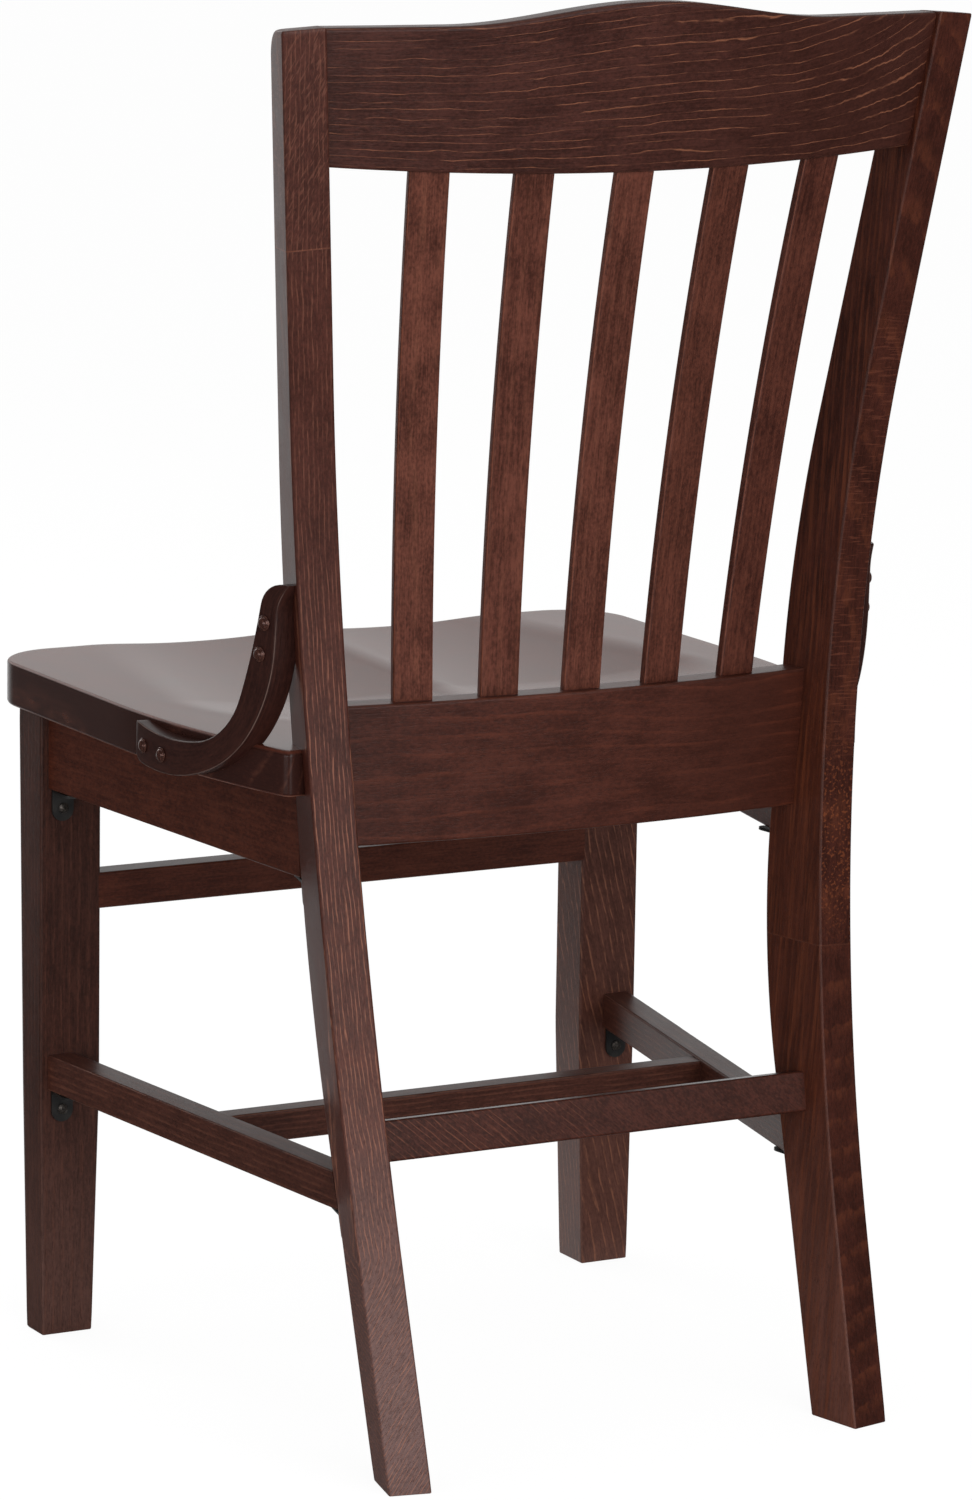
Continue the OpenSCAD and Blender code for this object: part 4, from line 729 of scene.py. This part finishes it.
# Hip braces: thick bent beech pieces that tie each back post to the seat's side, shaped like a
# hockey stick, their inner faces cut to bear on the post and on the seat's edge. Both edges
# start in a shallow hollow, and then follow arcs given as radius and sweep.
BRACE_Y, BRACE_LOW, BRACE_TOP, BRACE_THICK, BRACE_TALL, BRACE_OVER_POST = 15.5, 415.5, 548.5, 16, 20, 10.8
BRACE_END_Y, BRACE_OVER_SEAT, BRACE_INTO_SEAT, BRACE_ARRIS, BRACE_EASE = 154.8, 7, 2.5, 1.3, 0.8
UNDER_FROM, UNDER_ARCS = 33, ((130, 24.5), (82.5, 32), (108, 30))
UPPER_FROM, UPPER_LIFT, UPPER_ARCS = 43, 23.5, ((160, 10), (52, 60), (410, 7.5))
UPPER_RAKE, FLARE_RAKE = math.radians(77.5), math.radians(86.5)
SOLE_R, TOE_R, TOE_LIFT, NOSE_R = 210, 8, 1.5, 17
FLARE = ((0, 17), (1, 12.5), (3, 8.5), (6, 3.5), (9, 0))


def arcs(start, sweeps, steps=10):
    """Points of a run of arcs from a level start, each arc given as its radius and its sweep in degrees."""
    y, z = start
    heading, points = 0.0, []
    for radius, sweep in sweeps:
        for k in range(1, steps + 1):
            now = math.radians(heading + sweep * k / steps)
            first = math.radians(heading)
            points.append((y + radius * (math.sin(now) - math.sin(first)),
                           z + radius * (math.cos(first) - math.cos(now))))
        y, z = points[-1]
        heading += sweep
    return points


def sole(reach, base, distances):
    """Points of the shallow hollow in front of an edge's arcs, at distances ahead of them."""
    return [(BRACE_Y + reach - d, base + SOLE_R - math.sqrt(SOLE_R ** 2 - d ** 2)) for d in distances]


def evenly(points, count):
    """So many points, evenly spaced along a line through the given ones."""
    points = np.array(points, float)
    length = np.concatenate([[0], np.cumsum(np.linalg.norm(np.diff(points, axis=0), axis=1))])
    at = np.linspace(0, length[-1], count)
    return np.column_stack([np.interp(at, length, points[:, 0]), np.interp(at, length, points[:, 1])])


def edge_line(front, rest):
    """An edge of the brace: its end in few points and the rest in more."""
    return np.concatenate([evenly(front, 14), evenly([front[-1]] + rest, 60)[1:]])


under = arcs((BRACE_Y + UNDER_FROM, BRACE_LOW), UNDER_ARCS)
upper = arcs((BRACE_Y + UPPER_FROM, BRACE_LOW + UPPER_LIFT), UPPER_ARCS)
toe_z = BRACE_LOW + TOE_LIFT + TOE_R
under_front = [(BRACE_Y + TOE_R - TOE_R * math.cos(a), toe_z - TOE_R * math.sin(a))
               for a in np.radians((0, 15, 35, 55, 72))]
under_front += sole(UNDER_FROM, BRACE_LOW, (20, 15, 10, 5, 0))
upper_front = sole(UPPER_FROM, BRACE_LOW + UPPER_LIFT, np.linspace(UPPER_FROM, 0, 10))
nose_z = BRACE_TOP - NOSE_R
nose_y = upper[-1][0] + (nose_z - upper[-1][1]) / math.tan(UPPER_RAKE) + NOSE_R / math.sin(UPPER_RAKE)
top_front = [(nose_y - NOSE_R * math.cos(a), nose_z + NOSE_R * math.sin(a))
             for a in np.radians(np.linspace(12, 90, 9))]
flare_y = under[-1][0] + (nose_z - under[-1][1]) / math.tan(FLARE_RAKE)
under_top = [(flare_y + back, BRACE_TOP - drop) for back, drop in FLARE]
low_edge = edge_line(under_front, under + under_top)
high_edge = edge_line(upper_front, upper + top_front)


def brace_x(y):
    """How far out the brace's outer face stands, at a depth."""
    outer = SEAT_HALF + BRACE_OVER_SEAT
    post_out = LEG_OUT + BRACE_TOP * math.tan(LEG_LEAN) + BRACE_END_Y * math.sin(LEG_TURN)
    closing = outer - BRACE_OVER_POST - post_out / math.cos(LEG_TURN)
    return outer - closing * ((y - BRACE_Y) / (BRACE_END_Y - BRACE_Y)) ** 2


def brace_place(s, out, up):
    """s counts the points of both edges; out runs from minus the thickness to 0 at the outer
    face, and up from 0 at the lower edge to BRACE_TALL at the upper one."""
    step = np.arange(len(low_edge))
    low = [np.interp(s, step, low_edge[:, k]) for k in (0, 1)]
    high = [np.interp(s, step, high_edge[:, k]) for k in (0, 1)]
    y, z = (low[k] + (high[k] - low[k]) * up / BRACE_TALL for k in (0, 1))
    outer = brace_x(y)
    inner = outer - BRACE_THICK
    inner = np.where(z < SEAT_TOP, np.maximum(inner, seat_side_x(y) - BRACE_INTO_SEAT), inner)
    return outer + (outer - inner) * out / BRACE_THICK, y, z


# Its pale grey arris tint is stain rubbed thin with a painted highlight.
brace_wood = stained(
    "brace_beech", (36, 18, 15), (54, 29, 24), (76, 44, 35), pitch=0.0034, line=0.2, wander=0.006,
    arris=0.4, arris_tint=(140, 116, 106), sheen=0.29, relief=0.5)
for side, start, mirrored in (("left", 1900, False), ("right", 400, True)):
    rings, grain = loft(np.linspace(0, len(low_edge) - 1, 2 * len(low_edge) - 1),
                        board(-BRACE_THICK, 0, 0, BRACE_TALL, (BRACE_ARRIS,) * 4), brace_place, BRACE_EASE)
    grain = in_log(grain * (1, 1, 2.6), 30, 60, start)
    dress(f"hip_brace_{side}", *mesh_of(rings, grain), brace_wood, "stained_wood", mirrored)

# Brace screws: brown-finished screws with polished domed heads over a thin flange, two in
# the seat's edge and two in the post on each side.
DOME_R, DOME_HEIGHT, FLANGE_TOP, SHANK_R, SHANK_IN, SPOKES = 4.75, 2.8, 0.8, 2.2, 6.0, 32
SCREW_PROUD = 0.2
seat_y, seat_z = BRACE_Y + 10.5, BRACE_LOW + 13.5
post_y, post_z = upper[-1][0] + 5.5, BRACE_TOP - 25
dome_places = ((seat_y, seat_z), (seat_y + 23, seat_z - 2), (post_y, post_z), (post_y - 3.5, post_z - 19.5))
profile = [(SHANK_R, -SHANK_IN), (SHANK_R, 0.0), (DOME_R - 0.3, 0.0), (DOME_R, 0.25), (DOME_R, 0.6),
           (DOME_R - 0.35, FLANGE_TOP)]
profile += [((DOME_R - 0.9) * math.cos(a), 0.75 + (DOME_HEIGHT - 0.75) * math.sin(a))
            for a in np.radians(np.linspace(0, 84, 9))]
points, faces, grain = [], [], []
for mirror in (1, -1):
    for y, z in dome_places:
        slope = (brace_x(y - 2) - brace_x(y + 2)) / 4
        out = Vector((1, slope, 0)).normalized()
        up = Vector((0, 0, 1))
        along = up.cross(out)
        base = len(points)
        for radius, lift in profile:
            for k in range(SPOKES):
                a = 2 * math.pi * k / SPOKES
                spoke = (up * math.sin(a) + along * math.cos(a)) * radius
                p = Vector((brace_x(y), y, z)) + out * (lift + SCREW_PROUD) + spoke
                points.append((mirror * p.x, p.y, p.z))
                grain.append((radius * math.cos(a), radius * math.sin(a), lift))
        for i in range(len(profile) - 1):
            for k in range(SPOKES):
                n = (k + 1) % SPOKES
                faces.append((base + i * SPOKES + k, base + i * SPOKES + n,
                              base + (i + 1) * SPOKES + n, base + (i + 1) * SPOKES + k))
        faces.append(tuple(base + k for k in range(SPOKES)))
        faces.append(tuple(base + (len(profile) - 1) * SPOKES + k for k in range(SPOKES)))

dome_metal = Finish(bpy.data.materials.new("brown_screw_finish"))
spot = dome_metal.node("Attribute", {"attribute_name": "grain"}, None, "Vector")
wear = dome_metal.noise(spot, (700, 700, 700), 4.0, 0.6)
brown = dome_metal.blend(dome_metal.rise(wear, 0.35, 0.7), tint(58, 33, 28), tint(92, 58, 48))
dome_metal.surface(brown, 0.16 + wear * 0.14, wear, 0.00002, Metallic=0.45)
dress("brace_screws", points, faces, grain, [0.0] * len(points), dome_metal, "screw_brown")

# Corner brackets: black-coated steel straps bent square, one end screwed to the leg and the
# other up into the rail, each with two cross-recessed pan-head screws. They, the seat screws
# and the bare corner blocks inside the seat frame are the CAD solids, with a finish added.
black_steel = Finish(bpy.data.materials.new("black_coating"))
spot = black_steel.node("TexCoord", None, None, "Object")
speck = black_steel.noise(spot, (900, 900, 900), 4.0, 0.6)
rub = black_steel.rise(black_steel.noise(spot, (60, 60, 60), 3.0, 0.5), 0.45, 0.75)
coat = black_steel.blend(rub * 0.6, tint(33, 32, 32), tint(60, 57, 54))
black_steel.surface(coat, 0.32 + speck * 0.2, speck, 0.00004, Metallic=0.3)

black_screw = Finish(bpy.data.materials.new("black_screw"))
spot = black_screw.node("TexCoord", None, None, "Object")
speck = black_screw.noise(spot, (1400, 1400, 1400), 3.0, 0.6)
coat = black_screw.blend(black_screw.rise(speck, 0.4, 0.7), tint(44, 41, 39), tint(96, 88, 82))
black_screw.surface(coat, 0.30 + speck * 0.15, speck, 0.00003, Metallic=0.7)

bare_wood = Finish(bpy.data.materials.new("bare_block"))
spot = bare_wood.node("TexCoord", None, None, "Object")
fibre = bare_wood.noise(spot, (70, 900, 900), 3.0, 0.6)
bare = bare_wood.blend(bare_wood.rise(fibre, 0.35, 0.65), tint(142, 106, 72), tint(178, 142, 104))
bare_wood.surface(bare, 0.62 + fibre * 0.2, fibre, 0.0001)

for node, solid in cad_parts.items():
    finish = None
    if node in ("bracket_screws", "seat_screws"):
        finish = black_screw
    elif "bracket_" in node:
        finish = black_steel
    elif node.startswith("corner_block"):
        finish = bare_wood
    if finish:
        solid.data.materials.clear()
        solid.data.materials.append(finish.owner)

# Studio: a wide pale floor that turns white behind the chair, a bright wall in front of the
# chair that its polish picks up, soft boxes, and the camera where the photograph was taken.
FRONT_GLOW, BACK_GLOW, SIDE_GLOW, ROOM_LIGHT = 1.02, 0.08, 0.07, 0.5
BRIGHT_WALL = (-0.39, -0.92, 0)
FLOOR_REACH, FLOOR_GLOW, FLOOR_SEEN = 60.0, 1.06, 0.88
BAND_LOW, BAND_MID, BAND_HIGH, BAND_GLOW, SKY_FADE = 0.095, 0.135, 0.175, 0.18, 0.34
PHOTO_WIDTH, PHOTO_HEIGHT = 972, 1500
FOCAL_PX, MID_U, MID_V, SENSOR = 6288.9, 487.2, 750.1, 36
CAMERA_X, CAMERA_Y, CAMERA_Z = 1.8953, 3.4861, 1.1695
YAW, PITCH, ROLL = (math.radians(a) for a in (-28.802, 10.933, -0.894))


def polish_sees(finish, place):
    """How bright the studio is to a glossy ray: most on the bright wall, least at the sides."""
    level = finish.vector("NORMALIZE", finish.vector("MULTIPLY", place, (1, 1, 0)))
    front = finish.vector("DOT_PRODUCT", level, BRIGHT_WALL, output=1)
    back = finish.part(level, 1)
    return SIDE_GLOW + finish.rise(front, 0.64, 0.97) * FRONT_GLOW + finish.rise(back, 0.6, 0.95) * BACK_GLOW


floor_mesh = bpy.data.meshes.new("floor")
floor_corners = [(x * FLOOR_REACH, y * FLOOR_REACH, 0) for x, y in ((-1, -1), (1, -1), (1, 1), (-1, 1))]
floor_mesh.from_pydata(floor_corners, [], [(0, 1, 2, 3)])
floor = bpy.data.objects.new("floor", floor_mesh)
bpy.context.scene.collection.objects.link(floor)
pale = Finish(bpy.data.materials.new("pale_floor"))
seen = pale.node("LightPath", None, None, "Is Camera Ray")
mirrored_ray = pale.node("LightPath", None, None, "Is Glossy Ray")
through = pale.node("LightPath", None, None, "Is Transmission Ray")
spot = pale.node("TexCoord", None, None, "Object")
paper = pale.blend(pale.noise(spot, (3, 3, 3), 3.0), tint(236, 236, 236), tint(240, 240, 240))
lit = pale.node("BsdfDiffuse", None, {"Color": paper})
shown = pale.blend(mirrored_ray, (1, 1, 1, 1), polish_sees(pale, spot))
glow = pale.node("Emission", None, {"Color": shown, "Strength": FLOOR_GLOW})
share = pale.node("MixShader", None, {0: seen * FLOOR_SEEN + mirrored_ray + through, 1: lit, 2: glow})
pale.node("OutputMaterial", None, {"Surface": share})
floor_mesh.materials.append(pale.owner)

world = bpy.data.worlds.new("studio")
bpy.context.scene.world = world
sky = Finish(world)
seen = sky.node("LightPath", None, None, "Is Camera Ray")
mirrored_ray = sky.node("LightPath", None, None, "Is Glossy Ray")
through = sky.node("LightPath", None, None, "Is Transmission Ray")
room = ROOM_LIGHT + (seen + through) * (1 - ROOM_LIGHT)
looking = sky.node("TexCoord", None, None, "Generated")
height = sky.part(looking, 2)
band = sky.rise(height, BAND_LOW, BAND_MID) * sky.rise(height, BAND_HIGH, BAND_MID)
fading = 1.00 - sky.rise(height, 0.0, 0.40) * SKY_FADE + band * BAND_GLOW
room = sky.blend(mirrored_ray, room, polish_sees(sky, looking) * fading)
sky.node("OutputWorld", None, {"Surface": sky.node("Background", None, {"Color": room, "Strength": 1.0})})


def soft_box(name, place, aim, size, power):
    lamp = bpy.data.lights.new(name, "AREA")
    lamp.shape = "RECTANGLE"
    lamp.size, lamp.size_y = size
    lamp.energy = power
    box = bpy.data.objects.new(name, lamp)
    bpy.context.scene.collection.objects.link(box)
    box.location = place
    box.rotation_euler = (Vector(aim) - Vector(place)).to_track_quat("-Z", "Y").to_euler()
    box.visible_camera = False


soft_box("box_behind", (-0.25, 3.1, 1.6), (0, 0, 0.3), (2.8, 1.8), 52)
soft_box("box_low", (0.7, 3.1, 0.35), (0, 0, 0.12), (1.6, 0.5), 16)
soft_box("box_over", (0.2, -0.6, 3.0), (0, 0, 0.4), (2.0, 2.0), 14)
soft_box("box_front", (0.85, -3.1, 1.8), (0, 0, 0.4), (1.6, 1.2), 16)
soft_box("box_left", (3.0, 1.0, 0.5), (0, 0, 0.2), (1.6, 0.7), 16)

camera_data = bpy.data.cameras.new("camera")
camera_data.sensor_fit = "HORIZONTAL"
camera_data.sensor_width = SENSOR
camera_data.lens = FOCAL_PX * SENSOR / PHOTO_WIDTH
camera_data.shift_x = (PHOTO_WIDTH / 2 - MID_U) / PHOTO_WIDTH
camera_data.shift_y = (MID_V - PHOTO_HEIGHT / 2) / PHOTO_WIDTH
camera_data.clip_end = 300
camera = bpy.data.objects.new("camera", camera_data)
bpy.context.scene.collection.objects.link(camera)
ahead = Vector((math.sin(YAW) * math.cos(PITCH), -math.cos(YAW) * math.cos(PITCH), -math.sin(PITCH)))
right = Vector((-math.cos(YAW), -math.sin(YAW), 0))
down = ahead.cross(right)
turned_right = right * math.cos(ROLL) + down * math.sin(ROLL)
turned_down = down * math.cos(ROLL) - right * math.sin(ROLL)
turned = Matrix((turned_right, -turned_down, -ahead)).transposed().to_4x4()
camera.matrix_world = Matrix.Translation((CAMERA_X, CAMERA_Y - CENTRE_Y * MM, CAMERA_Z)) @ turned
bpy.context.scene.camera = camera
bpy.context.scene.view_settings.view_transform = "Standard"
